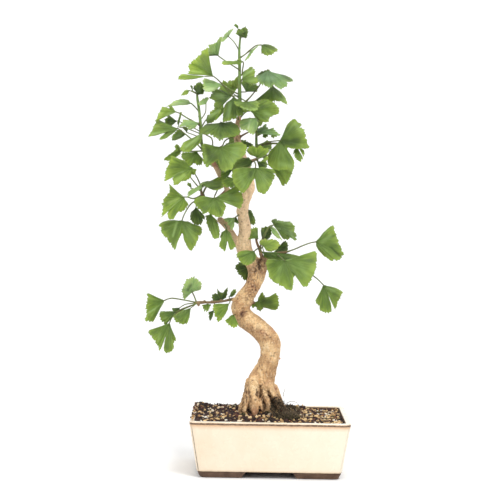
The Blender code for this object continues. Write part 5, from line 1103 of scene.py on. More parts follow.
GRAIN_KINDS = [
    # name, colours, share, smallest and largest grain in mm
    ("lava_dark", (GRAIN_DARK, GRAIN_PLUM), 0.44, 1.9, 7.4),
    ("clay_tan", (GRAIN_TAN, GRAIN_SAND), 0.24, 2.0, 7.0),
    ("clay_olive", (GRAIN_OLIVE, GRAIN_SAND), 0.10, 2.0, 6.4),
    ("lava_red", (GRAIN_RED, GRAIN_BROWN), 0.13, 1.8, 6.2),
    ("pumice_pale", (GRAIN_PALE, GRAIN_SAND), 0.11, 1.9, 5.6),
]


def grain_finish(name, pair):
    f = Finish("grain_" + name, 0.9)
    p = f.coords()
    tint = f.value("tint")
    colour = f.mix(tint, pair[0], pair[1])
    pits = f.remap(f.cells(p, 0.55), 0.1, 0.45)
    shade = f.remap(f.noise(p, 0.8, 4.0, 0.7), 0.3, 0.7, 0.72, 1.2)
    colour = f.mix(1.0, colour, f.node("CombineColor", {0: shade, 1: shade, 2: shade}).outputs[0], "MULTIPLY")
    colour = f.mix(f.math("MULTIPLY", f.math("SUBTRACT", 1.0, pits), 0.45), colour, srgb(38, 28, 22))
    dust = f.remap(f.noise(p, 2.6, 3.0), 0.55, 0.7, 0.0, 0.35)
    colour = f.mix(f.math("MULTIPLY", dust, 0.4), colour, srgb(150, 122, 92))
    height = f.math("ADD", f.math("MULTIPLY", pits, 0.6), f.noise(p, 0.35, 3.0, 0.7))
    f.set(colour=colour, normal=f.bump(height, 0.16))
    return f.mat


def grain_shapes():
    """A few crushed stones to draw on, each about 1 across."""
    out = {}
    for level in (1, 2):
        bm = bmesh.new()
        bmesh.ops.create_icosphere(bm, subdivisions=level, radius=0.5)
        base = np.array([v.co[:] for v in bm.verts])
        faces = [tuple(v.index for v in fa.verts) for fa in bm.faces]
        bm.free()
        made = []
        rng = np.random.default_rng(70 + level)
        for _ in range(9 if level == 2 else 7):
            p = base.copy()
            for _ in range(5):
                # crush a side flat
                n = rng.normal(size=3)
                n /= np.linalg.norm(n)
                cut = rng.uniform(0.30, 0.43)
                over = np.maximum(0, p @ n - cut)
                p -= np.outer(over * rng.uniform(0.75, 1.0), n)
            p *= 1 + 0.10 * ripple(base * 4, 1.1, rng.integers(1, 9999))[:, None]
            p *= rng.uniform((0.85, 0.7, 0.6), (1.2, 1.0, 0.9))
            made.append(p)
        out[level] = (made, faces)
    return out


def turned(rng):
    q = rng.normal(size=4)
    q /= np.linalg.norm(q)
    w, x, y, z = q
    return np.array(((1 - 2 * (y * y + z * z), 2 * (x * y - z * w), 2 * (x * z + y * w)),
                     (2 * (x * y + z * w), 1 - 2 * (x * x + z * z), 2 * (y * z - x * w)),
                     (2 * (x * z - y * w), 2 * (y * z + x * w), 1 - 2 * (x * x + y * y))))


MOSS_X, MOSS_Y = 25.0, -38.5
PUMICE_SPOTS = [(209.0, 409.5), (217, 412), (224, 414), (230.4, 414), (203, 412), (296, 409), (321, 410), (331, 412), (289, 413)]


def make_soil(wood):
    """The bed of grains: an uneven bed below and loose grains pressed in it."""
    hx, hy = POT_LENGTH / 2 - RIM_THICK - 0.35, POT_WIDTH / 2 - RIM_THICK - 0.35
    # the bed
    n, m = 150, 112
    xs = np.linspace(-hx, hx, n)
    ys = np.linspace(-hy, hy, m)
    gx, gy = np.meshgrid(xs, ys)
    corner = 6.6
    ax, ay = np.abs(gx) - (hx - corner), np.abs(gy) - (hy - corner)
    far = np.hypot(np.maximum(ax, 0), np.maximum(ay, 0))
    pull = np.where((ax > 0) & (ay > 0) & (far > corner), corner / np.maximum(far, 1e-6), 1.0)
    gx = np.sign(gx) * np.where(pull < 1, (hx - corner) + ax * pull, np.abs(gx))
    gy = np.sign(gy) * np.where(pull < 1, (hy - corner) + ay * pull, np.abs(gy))
    flat = np.stack((gx, gy, np.zeros_like(gx)), axis=-1).reshape(-1, 3)
    top = soil_top(flat[:, 0], flat[:, 1]) - 2.1 + 0.5 * ripple(flat, 2.2, 61) + 0.4 * ripple(flat, 4.5, 62)
    verts = [tuple(p) for p in np.column_stack((flat[:, :2], top))]
    faces = []
    for r in range(m - 1):
        for c in range(n - 1):
            k = r * n + c
            faces.append((k, k + 1, k + 1 + n, k + n))
    # walls and underside, inside the pot
    edge = [c for c in range(n)] + [r * n + n - 1 for r in range(1, m)] + [(m - 1) * n + c for c in range(n - 2, -1, -1)] + [r * n for r in range(m - 2, 0, -1)]
    low = len(verts)
    shrink = (BASE_LENGTH - 2 * RIM_THICK) / (POT_LENGTH - 2 * RIM_THICK) * 0.985
    for z, s in ((45.0, 0.958), (19.0, shrink)):
        verts += [(verts[i][0] * s, verts[i][1] * s, z) for i in edge]
    k = len(edge)
    for i in range(k):
        j = (i + 1) % k
        faces.append((edge[j], edge[i], low + i, low + j))
        faces.append((low + j, low + i, low + k + i, low + k + j))
    faces.append(tuple(low + k + i for i in range(k))[::-1])
    f = Finish("soil_bed", 0.95)
    p = f.coords()
    # the bed stands for the deeper grains, painted near black as the shade in the gaps between the grains on top
    colour = f.mix(f.noise(p, 2.4, 4.0, 0.7), srgb(26, 18, 15), srgb(66, 47, 35))
    f.set(colour=colour, normal=f.bump(f.noise(p, 1.1, 4.0, 0.7), 0.7))
    make("soil_bed", verts, outward(verts, faces), [f.mat], node="soil")
    # the grains, larger ones first, each kept clear of the wood and the rim
    rng = np.random.default_rng(2024)
    shapes = grain_shapes()
    shares = np.array([k[2] for k in GRAIN_KINDS])
    buckets = [[] for _ in GRAIN_KINDS]
    grid = {}
    placed = 0

    def clear(spot, r, give):
        cx, cy = int(spot[0] // 5), int(spot[1] // 5)
        for i in (-1, 0, 1):
            for j in (-1, 0, 1):
                for q, s in grid.get((cx + i, cy + j), ()):
                    if np.linalg.norm(np.array(q) - spot) < (r + s) * give:
                        return False
        return True

    def drop(x, y, size, kind, give, sink=0.0):
        nonlocal placed
        r = size / 2
        if abs(x) > hx - r * 1.05 or abs(y) > hy - r * 1.05 or x > 93.5 - r:
            return False
        if np.hypot(max(0, abs(x) - (hx - corner)), max(0, abs(y) - (hy - corner))) > corner - r:
            return False
        z = float(soil_top(np.array(x), np.array(y))) - 0.55 * r - sink - 0.75 + rng.uniform(-0.6, 0.35)
        # a grain that meets a root lies on top of it
        for lift in (0.0, 1.2, 2.4, 3.4):
            spot = np.array((x, y, z + lift))
            near = wood.find_nearest(Vector(spot))
            if near[3] is None or ((Vector(spot) - near[0]).dot(near[1]) >= 0 and near[3] >= 0.35 * r):
                break
        else:
            return False
        if not clear(spot, r, give):
            return False
        grid.setdefault((int(x // 5), int(y // 5)), []).append((tuple(spot), r))
        level = 2 if size > 2.9 and y < 20 else 1
        made, fs = shapes[level]
        p = made[rng.integers(len(made))] @ turned(rng).T * size
        p[:, 2] *= 0.9
        buckets[kind].append((p + spot, fs, rng.beta(0.7, 0.7)))
        placed += 1
        return True

    for u, v in PUMICE_SPOTS:
        # pale grains noticed from the front
        for y in np.arange(-70, 60, 1.0):
            q = at(u, v, y)
            if abs(q[0]) < hx and q[2] <= float(soil_top(q[0], q[1])) - 0.5:
                drop(q[0], q[1], rng.uniform(2.6, 3.4), 4, 0.6, -0.5)
                break
    # grains spilled on the rim, at the left and the back
    for _ in range(230):
        size = rng.uniform(2.2, 4.6)
        if rng.uniform() < 0.85:
            x, y = rng.uniform(-98.4, -93.5), rng.uniform(-66, 73)
        else:
            x, y = rng.uniform(-97, 50), rng.uniform(68.2, 70.5)
        spot = np.array((x, y, POT_HEIGHT + 0.36 * size + (rng.uniform(0, 1.4) if x < -90 else 0.0)))
        if not clear(spot, size / 2, 0.8):
            continue
        kind = rng.choice(len(shares), p=shares / shares.sum())
        grid.setdefault((int(x // 5), int(y // 5)), []).append((tuple(spot), size / 2))
        made, fs = shapes[1]
        buckets[kind].append((made[rng.integers(len(made))] @ turned(rng).T * size * (1, 1, 0.85) + spot, fs, rng.uniform(0, 1)))
    for biggest, smallest, count, give in ((7.4, 5.6, 1500, 0.80), (5.6, 4.0, 3600, 0.78), (4.0, 2.3, 6500, 0.76)):
        for _ in range(count):
            x, y = rng.uniform(-hx, hx), rng.uniform(-hy, hy)
            if ((x - MOSS_X) / 10.5) ** 2 + ((y - MOSS_Y) / 7.5) ** 2 < 1 and rng.uniform() < 0.8:
                continue
            # darker lava to the left, more tan clay to the right
            lean = shares * ((1.45, 0.75, 0.9, 1.1, 0.7) if x < -42 else (0.86, 1.2, 1.1, 1.0, 1.1))
            kind = rng.choice(len(shares), p=lean / lean.sum())
            lo, hi = GRAIN_KINDS[kind][3:]
            size = min(hi, max(lo, rng.uniform(smallest, biggest)))
            drop(x, y, size, kind, give)
    # a few crumbs lying on top
    for _ in range(110):
        x, y = rng.uniform(-hx, hx), rng.uniform(-hy, hy)
        kind = rng.choice(len(shares), p=shares / shares.sum())
        drop(x, y, rng.uniform(1.3, 2.2), kind, 0.55, -1.3)
    for (name, pair, _, _, _), bucket in zip(GRAIN_KINDS, buckets):
        verts, faces, tint = [], [], []
        for p, fs, t in bucket:
            faces += [tuple(c + len(verts) for c in fa) for fa in fs]
            verts += [tuple(q) for q in p]
            tint += [t] * len(p)
        make("grains_" + name, verts, faces, [grain_finish(name, pair)], node="soil", smooth=False,
             values={"tint": tint})
    return placed


# the top and the foot of the dark fibrous moss, as seen from the front
MAT_TOP = [(270.5, 404), (273, 398), (276, 396.5), (280, 398.5), (284, 400.5), (288, 403), (293, 405.5), (298, 407.5), (300.5, 410)]
MAT_FOOT = [(270.5, 409), (273, 415), (278, 418), (284, 418.5), (290, 418), (296, 416.5), (300.5, 412.5)]


def seen_surface(eye, u, v, wood):
    """The first point of wood or soil on the line of sight through (u, v)."""
    ahead = Vector(at(u, v, 0.0)) - eye
    ahead.normalize()
    hit = wood.ray_cast(eye, ahead)
    best = hit[0]
    for y in np.arange(-68.0, 66.0, 1.0):
        q = at(u, v, y)
        if q[2] <= float(soil_top(q[0], q[1])) - 0.2:
            if best is None or y < best.y:
                best = Vector(q)
            break
    return None if best is None else np.array(best)


def strand(rng, root, lean, length, radius, bend=0.5, steps=4):
    """A thin fibre that curls as it goes."""
    way = np.array(lean, float)
    way /= np.linalg.norm(way)
    p = np.array(root, float)
    rows = [(*p, radius)]
    for i in range(steps):
        way = way + bend * rng.normal(size=3) * 0.5
        way /= np.linalg.norm(way)
        p = p + way * length / steps
        rows.append((*p, radius * (1 - 0.7 * (i + 1) / steps)))
    return rows


def make_moss(wood):
    """The mossy, fibrous patch by the trunk and scraps of moss on the soil."""
    rng = np.random.default_rng(515)
    dark, green, fibre = [], [], []
    # a cushion under the tufts
    ring_n, rows = 40, []
    for k, (grow, z) in enumerate(((1.0, 70.2), (1.02, 72.2), (0.93, 74.2), (0.75, 75.6), (0.5, 76.4), (0.22, 76.8))):
        ring = []
        for i in range(ring_n):
            a = 2 * math.pi * i / ring_n
            w = 1 + 0.09 * math.sin(3 * a + 0.6) + 0.06 * math.sin(5 * a + k) + 0.04 * math.sin(9 * a + 2 * k)
            ring.append((MOSS_X + 11.5 * grow * w * math.cos(a), MOSS_Y + 8.5 * grow * w * math.sin(a),
                         z + 0.5 * math.sin(4 * a + k) * (k > 0)))
        rows.append(ring)
    verts, faces = loft(rows)
    f = Finish("moss_cushion", 0.95)
    p = f.coords()
    colour = f.ramp(f.noise(p, 2.2, 4.0, 0.7), [(0.3, srgb(34, 26, 18)), (0.5, srgb(60, 48, 28)), (0.7, srgb(84, 82, 38))])
    f.set(colour=colour, normal=f.bump(f.noise(p, 0.7, 4.0, 0.75), 1.2))
    make("moss_cushion", verts, outward(verts, faces), [f.mat], node="moss_patch")
    for _ in range(1300):
        a, r = rng.uniform(0, 2 * math.pi), math.sqrt(rng.uniform(0, 1))
        if math.cos(a) * r > 0.35 and rng.uniform() < 0.5:
            continue
        x, y = MOSS_X + 12.5 * r * math.cos(a), MOSS_Y + 9.5 * r * math.sin(a)
        z = 76.9 - 5.2 * r ** 2.6 + rng.uniform(-1.4, 0.2)
        lean = (0.9 * r * math.cos(a) + rng.normal() * 0.6, 0.9 * r * math.sin(a) + rng.normal() * 0.6, 1.1)
        which = rng.uniform()
        if which < 0.62:
            dark.append(tube(strand(rng, (x, y, z), lean, rng.uniform(1.4, 3.2), 0.2, 0.6, 3), 3))
        elif which < 0.76:
            green.append(tube(strand(rng, (x, y, z), lean, rng.uniform(1.2, 2.4), 0.24, 0.4, 2), 3))
        else:
            lean = (rng.normal(), rng.normal(), 0.5)
            fibre.append(tube(strand(rng, (x, y, z + 0.6), lean, rng.uniform(4, 9), 0.22, 0.6, 5), 3))
    # dark fibrous moss that hangs on the roots at the trunk's right
    eye = Vector((VIEW_X, VIEW_Y, VIEW_Z))
    for _ in range(3400):
        u = rng.uniform(270.5, 300.5)
        top = np.interp(u, [p[0] for p in MAT_TOP], [p[1] for p in MAT_TOP])
        low_edge = np.interp(u, [p[0] for p in MAT_FOOT], [p[1] for p in MAT_FOOT])
        v = rng.uniform(top, low_edge)
        if rng.uniform() < (u - 288) / 16:
            continue
        spot = seen_surface(eye, u, v, wood)
        if spot is None:
            continue
        spot = spot + np.array((0, 0.3, -0.2))
        kind = rng.uniform()
        if kind < 0.6:
            dark.append(tube(strand(rng, spot, (rng.normal() * 0.7, -0.9, rng.normal() * 0.7 - 0.1), rng.uniform(1.8, 4.6), 0.32, 0.7, 3), 3))
        elif kind < 0.7:
            green.append(tube(strand(rng, spot, (rng.normal() * 0.5, -0.8, 0.5), rng.uniform(1.2, 2.4), 0.22, 0.4, 2), 3))
        elif kind < 0.93:
            fibre.append(tube(strand(rng, spot, (rng.normal(), -0.8, rng.normal() * 0.8), rng.uniform(4, 9), 0.26, 0.6, 5), 3))
    # scraps of moss among the grains and up the roots
    scraps = [(-2.5, -30, 3.4, 40), (22, -37, 3.0, 30), (-33, -36, 2.4, 20), (-62, -44, 2.2, 12), (70, -30, 2.8, 22),
              (12, 42, 4.6, 44), (-44, 30, 4.0, 34), (38, 44, 3.2, 24), (63, 22, 2.8, 20), (-77, 12, 2.6, 16), (81, -6, 2.2, 14)]
    for cx, cy, reach, count in scraps:
        for _ in range(count):
            x, y = cx + rng.normal() * reach * 0.5, cy + rng.normal() * reach * 0.5
            z = float(soil_top(np.array(x), np.array(y))) - 0.2
            spot = Vector((x, y, z))
            near = wood.find_nearest(spot)
            if (spot - near[0]).dot(near[1]) < 0:
                continue
            green.append(tube(strand(rng, (x, y, z), (rng.normal() * 0.6, rng.normal() * 0.6, 1), rng.uniform(1.0, 2.2), 0.22, 0.4, 2), 3))
    # loose root fibres on the soil
    for _ in range(46):
        x, y = rng.uniform(-86, 86), rng.uniform(-62, 40)
        z = float(soil_top(np.array(x), np.array(y))) + 0.5
        spot = Vector((x, y, z))
        near = wood.find_nearest(spot)
        if (spot - near[0]).dot(near[1]) < 0:
            continue
        fibre.append(tube(strand(rng, (x, y, z), (rng.normal(), rng.normal(), 0.15), rng.uniform(4, 10), 0.14, 0.5, 5), 3))
    # the upright fibre at the trunk's right
    fibre.append(tube(sheet_path([(283.4, 396.4, -22, 0.3), (283.6, 393.4, -22, 0.28), (284.6, 390.4, -22, 0.26), (285.3, 387.6, -21, 0.2)], 4), 5))
    fibre.append(tube(sheet_path([(287, 402.6, -20, 0.3), (291, 401.4, -22, 0.26), (295, 401.8, -24, 0.22), (298.4, 403.6, -26, 0.18)], 4), 5))
    for name, shapes, tones, slot_ in (("moss_dark", dark, ((22, 19, 14), (62, 56, 42)), "moss"),
                                       ("moss_green", green, ((44, 56, 24), (96, 108, 46)), "moss"),
                                       ("moss_fibres", fibre, ((74, 62, 48), (146, 126, 98)), "moss")):
        verts, faces, which = joined(shapes)
        f = Finish(name, 0.85)
        p = f.coords()
        f.set(colour=f.mix(f.remap(f.noise(p, 1.8, 3.0), 0.35, 0.65), srgb(*tones[0]), srgb(*tones[1])))
        make(name, verts, faces, [f.mat], node="moss_patch")


# ----------------------------------------------------------------------- leaves
# hue of each leaf of the table above, and where it catches or loses light:
# (line on the sheet, width in sheet units, amount: + pale, - dark)
LOOKS = {
    "leaf_top_01": ("dark", []),
    "leaf_top_02": ("bright", [([(212, 73), (206, 66), (204, 58)], 5, -0.6), ([(190, 72), (200, 73)], 2.2, 0.9)]),
    "leaf_top_03": ("pale", [([(210, 56), (217, 56)], 2.2, -0.9)]),
    "leaf_top_04": ("face", [([(264, 44.5), (274, 48)], 2.6, -0.9)]),
    "leaf_top_05": ("face", [([(239, 79), (246, 74), (253, 70)], 1.5, 1.0), ([(250, 81), (256, 79)], 3, 0.5)]),
    "leaf_top_06": ("blue", [([(284, 75), (294, 82)], 3.2, -1.0), ([(262, 79), (272, 78)], 3, 0.4)]),
    "leaf_top_07": ("face", [([(262, 92), (258, 100)], 4, -0.7), ([(276, 97), (284, 102)], 3, 0.6)]),
    "leaf_top_08": ("face", [([(266, 114), (270, 116)], 3.4, 0.9), ([(258, 103), (262, 106)], 3, -0.4)]),
    "leaf_core_01": ("face", [([(240, 107.5), (250, 110), (258, 109)], 1.4, 0.8)]),
    "leaf_core_02": ("pale", [([(206, 80), (214, 82)], 2.6, -0.8), ([(205, 90), (214, 90)], 2.4, 0.9)]),
    "leaf_core_03": ("yellow", []),
    "leaf_core_04": ("dark", [([(214, 94), (222, 96)], 3, 0.7)]),
    "leaf_core_05": ("face", [([(210, 116), (219, 110)], 1.8, 0.8), ([(208, 122), (214, 120)], 2.2, -0.8)]),
    "leaf_core_06": ("deep", [([(230, 104), (228, 116)], 2.4, 0.4)]),
    "leaf_core_07": ("deep", [([(208, 134), (218, 139), (226, 138)], 2.4, 0.5), ([(228, 125), (236, 126)], 3, -0.3)]),
    "leaf_core_08": ("pale", [([(250, 120), (248, 130)], 1.2, 0.9), ([(255, 124), (254, 132)], 2, -0.4)]),
    "leaf_left_01": ("dark", []),
    "leaf_left_02": ("pale", []),
    "leaf_left_03": ("bright", [([(158, 116), (164, 110)], 2.4, 0.7)]),
    "leaf_left_04": ("face", [([(152, 134), (164, 133)], 1.8, 0.8), ([(168, 130), (162, 126)], 3, -0.3)]),
    "leaf_left_05": ("deep", [([(176, 138), (182, 133)], 2.4, 0.5)]),
    "leaf_left_06": ("pale", []),
    "leaf_left_07": ("face", [([(186, 147), (198, 138)], 1.7, 0.8)]),
    "leaf_flank_01": ("bright", []),
    "leaf_flank_02": ("bright", [([(174, 181), (184, 176)], 3.4, 0.9)]),
    "leaf_flank_03": ("face", [([(208, 189), (220, 187)], 2.2, -1.0)]),
    "leaf_flank_04": ("bright", [([(170, 203), (178, 199)], 2.4, 0.7)]),
    "leaf_front_01": ("face", [([(206, 150), (214, 158)], 6, -0.8), ([(204, 148), (206, 160)], 1.6, 0.9), ([(236, 150), (234, 160)], 5, 0.5)]),
    "leaf_front_02": ("deep", [([(238, 163), (246, 163)], 2.6, -0.4)]),
    "leaf_front_03": ("face", [([(251, 173), (250, 176)], 2.4, -0.9), ([(240, 175), (244, 186)], 3, 0.35), ([(264, 176), (264, 188)], 3, 0.3)]),
    "leaf_front_04": ("face", [([(230, 196), (238, 200)], 3, 0.4), ([(205, 206), (214, 204)], 3, 0.2)]),
    "leaf_right_01": ("face", [([(284, 142), (292, 142), (298, 140)], 4, -0.9), ([(296, 124), (302, 132)], 2.6, 0.6), ([(280, 164), (290, 166)], 3, 0.5)]),
    "leaf_right_02": ("face", []),
    "leaf_right_03": ("blue", []),
    "leaf_right_04": ("bright", []),
    "leaf_waist_01": ("face", [([(177, 222), (173, 236)], 1.3, 0.9), ([(190, 226), (192, 240)], 3, 0.25)]),
    "leaf_waist_02": ("face", []),
    "leaf_limb_01": ("face", []),
    "leaf_limb_02": ("face", []),
    "leaf_fork_01": ("yellow", []),
    "leaf_fork_02": ("deep", [([(276, 221), (290, 224)], 1.6, 0.6), ([(290, 232), (293, 238)], 2, 0.5)]),
    "leaf_fork_03": ("face", [([(331, 247.5), (341, 257)], 1.2, -1.0), ([(322, 242), (330, 236)], 2.6, 0.5)]),
    "leaf_fork_04": ("face", [([(280, 268), (278, 280)], 3, 0.3), ([(300, 264), (306, 276)], 3, 0.3)]),
    "leaf_fork_05": ("face", [([(326, 288), (334, 291)], 2, 0.4)]),
    "leaf_fork_06": ("dark", []),
    "leaf_low_01": ("face", [([(148, 313), (155, 309)], 1.3, 0.9)]),
    "leaf_low_02": ("pale", [([(191, 285), (188, 290)], 1.6, -0.9)]),
    "leaf_low_03": ("face", []),
    "leaf_low_04": ("face", [([(160, 334), (158, 342)], 2, 0.4)]),
    "leaf_low_05": ("bright", []),
    "leaf_low_06": ("face", [([(264, 301), (270, 302)], 3.4, -0.8)]),
}
# smaller leaves: J, depth, tilt, cup, margin, stalk, carrier, hue
SMALL = [
 ((241, 36.5), -3, (0, .4), 1, [(235.5, 33.5), (237.5, 31), (239, 28.5), (241, 29.5), (243, 30.5), (244.5, 33), (243, 36.5)], [], "stem_leader", "deep"),
 ((241.5, 37), 5, (0, .4), 1, [(241, 29.5), (243, 27.5), (246, 27.5), (248, 30), (247.5, 33), (246, 36)], [], "stem_leader", "dark"),
 ((243, 33), -7, (0, -.4), 1, [(243.5, 36.5), (245, 38.2), (246.7, 37.5), (247.5, 34), (247, 31.5)], [(241.5, 36)], "stem_leader", "dark"),
 ((238, 29), 0, (0, .2), 1, [(233.5, 25.3), (235.5, 24), (237.3, 24.5), (238.5, 27)], [(239, 32), (240, 36)], "stem_leader", "deep"),
 ((205, 76.5), -19, (0, 1.2), 1, [(186, 74.3), (182, 74), (179, 76.5), (178, 79), (184, 79.8), (195, 79)], [(213, 76.4), (217, 79), (221, 83), (229, 92), (239.8, 103.5)], "stem_leader", "bright"),
 ((228.5, 36.5), 0, (-1.2, 1.4), 2, [(233.7, 28.3), (230, 29.8), (226, 33), (222, 38), (221.3, 41), (223, 41.8)], [(234, 42), (239, 50)], "stem_leader", "pale"),
 ((243, 62), -8, (.5, 1.3), 2, [(240, 57.5), (236, 60.5), (230, 61), (225, 60.8), (221.5, 62), (223, 64.5), (227, 65), (232, 64.5), (240, 64.5)], [(243.5, 64), (242.5, 70), (242, 75)], "stem_leader", "bright"),
 ((250.5, 50.5), -6, (-1.4, 1.2), 2, [(260.7, 43.3), (258, 46.5), (254, 50.5), (250.5, 55.5), (247, 59.5), (244.3, 61)], [(245, 54.5), (241, 57)], "stem_leader", "pale"),
 ((262, 78), 24, (0, .6), 2, [(256, 76.5), (258, 73.5), (263, 71), (268, 69.8), (272, 72), (273, 74)], [(259, 86), (251, 96), (240.2, 106)], "stem_leader", "dark"),
 ((206, 104), -28, (.2, 1.1), 2, [(199, 105.5), (199, 102), (203, 99), (207, 97), (209, 98.5)], [(205.5, 112), (202, 118)], "stem_left", "pale"),
 ((240, 148), 16, (0, .5), 3, [(222, 146.5), (226, 144), (232, 140.5), (240, 139.5), (246, 140.5), (252, 144), (254, 147)], [(241, 152)], "wood", "deep"),
 ((192.5, 91), -26, (0, .3), 1, [(190, 85.5), (192.5, 85.5), (192.5, 89), (191, 91)], [(196.5, 93)], "stem_left", "dark"),
 ((189.5, 90.5), -29, (.3, .5), 2, [(187, 89.5), (184, 91), (181.5, 95), (184, 95.5), (188, 94)], [(193, 92), (196.8, 94)], "stem_left", "yellow"),
 ((177, 121), -24, (.2, .5), 3, [(168.5, 114.3), (166, 118), (164.5, 122), (167, 125), (170, 126.7), (174, 124)], [(186, 124), (194, 128), (200.8, 132)], "stem_left", "dark"),
 ((178.5, 127), -27, (.3, .3), 2, [(182, 112.5), (180.5, 112), (178.5, 118), (177, 123)], [(188, 129), (200.9, 134)], "stem_left", "deep"),
 ((187, 132.5), -14, (.2, .4), 2, [(182, 127.5), (185, 126.3), (188.5, 128.5)], [(194, 135), (201.2, 138)], "stem_left", "dark"),
 ((197, 151.5), -12, (0, .5), 4, [(182, 152.5), (181.5, 157), (183, 161), (186, 164.5), (190, 166.3), (194, 163.5), (199, 165.8), (202, 163.5), (203.3, 159)], [(203, 150.4)], "stem_left", "face"),
 ((207, 185), -27, (.3, .6), 2, [(187, 197.6), (187.6, 193.4), (190.6, 189.6), (195, 188), (199, 185), (202.6, 182), (205.4, 181.2)], [(204, 190), (202.4, 195)], "wood", "pale"),
 ((207.5, 185.5), -29, (.2, .5), 2, [(206, 181.8), (210, 182), (214, 179.4), (219, 177.2), (223, 178.4), (221, 182), (214, 185.2)], [(205, 190), (202.8, 195)], "wood", "bright"),
 ((191.5, 188.5), -22, (.2, .4), 1, [(187, 185), (188, 182.8), (190.5, 183), (191.5, 186)], [(195, 189), (200, 190.4)], "wood", "face"),
 ((233, 169), -22, (.2, .5), 3, [(226, 170.5), (222, 171.5), (220.5, 175), (221.5, 180.3), (225, 179), (229, 175.5)], [(237, 168.5), (243, 168)], "wood", "deep"),
 ((234, 178), -30, (.2, .4), 3, [(228, 176.5), (222.5, 180.5), (222.5, 184.5), (226, 187), (232, 188), (234.5, 186)], [(238, 180), (244, 184)], "wood", "face"),
 ((297, 147), 14, (.2, .4), 2, [(293.8, 150), (293.2, 154), (295, 157), (298, 160.8), (301.7, 160.7), (302.7, 157.5), (300, 152)], [(285, 144), (270, 143), (256.6, 146.5)], "stem_right", "face"),
 ((299, 148.5), 10, (.2, .4), 1, [(300, 149.5), (303.5, 149.5), (304.5, 154), (303.5, 157)], [(285, 145), (270, 144), (256.6, 147.5)], "stem_right", "bright"),
 ((263, 133), 2, (0, .6), 1, [(262.5, 137), (265, 138), (268, 136), (268, 134)], [(257, 136)], "stem_right", "deep"),
 ((271, 132), 4, (0, .4), 1, [(271, 137), (274, 138), (277, 136.5), (276, 133)], [(264, 133.4), (257, 134.6)], "stem_right", "face"),
 ((257, 161), -8, (0, .5), 2, [(266, 161.5), (268, 164.5), (265, 168), (259, 168)], [(256, 159.4)], "wood", "dark"),
 ((259, 163), -12, (.2, .5), 2, [(267, 155.5), (268.5, 158), (266, 161.5)], [(257, 159.6)], "wood", "bright"),
 ((196, 207), -22, (0, .3), 3, [(200, 211), (205, 217), (203, 221), (200, 225), (194, 224), (191, 220), (190, 216), (191, 212)], [(199, 203), (203, 196.4)], "wood", "dark"),
 ((235, 217.5), -12, (.1, .4), 2, [(228, 217.5), (224, 219), (226, 222), (229, 226), (232, 230), (234.3, 226)], [(238, 215.6)], "wood", "pale"),
 ((236, 216.5), -8, (.1, .3), 1, [(233, 220), (236, 223.5), (239, 223)], [(239, 214.8)], "wood", "dark"),
 ((247, 209), 12, (0, .3), 2, [(251, 210), (253, 214), (255, 219), (255.3, 223.7), (251, 225), (249.8, 220)], [(246, 207)], "wood", "dark"),
 ((258, 238.5), -4, (.1, .4), 2, [(246, 239.5), (248, 234), (251, 229.5), (254, 227.3), (257.5, 228), (258, 232)], [(256.6, 240)], "wood", "face"),
 ((262, 241), 18, (.1, .3), 2, [(261, 234), (261.3, 228), (266, 226.8), (272, 226.3), (271.5, 231), (271, 236), (267, 240.5)], [(263, 249), (265.6, 255.6)], "wood", "dark"),
 ((270, 227), -1, (.2, .4), 1, [(273, 227), (276.5, 230), (281, 238), (282, 240.3), (276, 237), (272, 233)], [(267, 231), (262, 243), (260, 250)], "wood", "pale"),
 ((273, 253.5), 8, (.2, .4), 2, [(278, 247.5), (283, 242), (286.5, 241), (288, 247), (287.5, 252), (283, 255.3)], [(268, 257)], "wood", "dark"),
 ((262, 252), 2, (0, .6), 2, [(270, 252), (285, 253), (300, 256.5), (292, 260.5), (285, 261.5), (272, 260), (264, 257)], [(260.8, 254)], "wood", "deep"),
 ((176, 312), -20, (0, .3), 2, [(172, 311), (165, 311.3), (160, 311.7), (159.7, 317), (162, 321.3), (165, 324.3), (168.5, 322), (172, 317)], [(184, 308), (196.6, 303.6)], "wood", "deep"),
 ((180, 307.5), -14, (0, .3), 2, [(172, 308), (174, 313.5), (179.5, 311.5)], [(185, 304.5), (191, 303.5), (196.4, 303)], "wood", "dark"),
 ((221, 301), 8, (0, .4), 3, [(212.5, 301.3), (212.3, 294.5), (217, 293.3), (217.3, 288.5), (219.5, 291.7), (223, 292), (227.3, 287.7), (227.5, 293), (226, 298)], [(222, 301.6)], "wood", "dark"),
 ((208, 303.5), -8, (0, .3), 1, [(202, 305), (204, 310.5), (207.3, 311.7), (211.3, 304.5)], [(208.4, 302.6)], "wood", "face"),
 ((214, 310), -2, (0, .3), 1, [(208.3, 312), (209, 317), (210, 321.3), (213, 316)], [(214.6, 305), (214, 302.4)], "wood", "dark"),
 ((229, 297), 6, (.1, .3), 2, [(231, 292), (234, 289.3), (236.3, 290), (235.3, 294), (232, 297)], [(230, 299.4)], "wood", "deep"),
 ((259, 300.5), 26, (0, .3), 1, [(250.5, 303.5), (252.5, 307.8), (256, 307), (259.5, 310), (263, 307.6)], [(256.5, 303)], "wood", "face"),
 ((234, 315), -16, (0, .3), 2, [(232, 314.5), (228, 318), (225.3, 321.3), (230, 325.5), (232, 327.3), (238.5, 326.3), (236.5, 320)], [(237.6, 313.4)], "wood", "bright"),
]
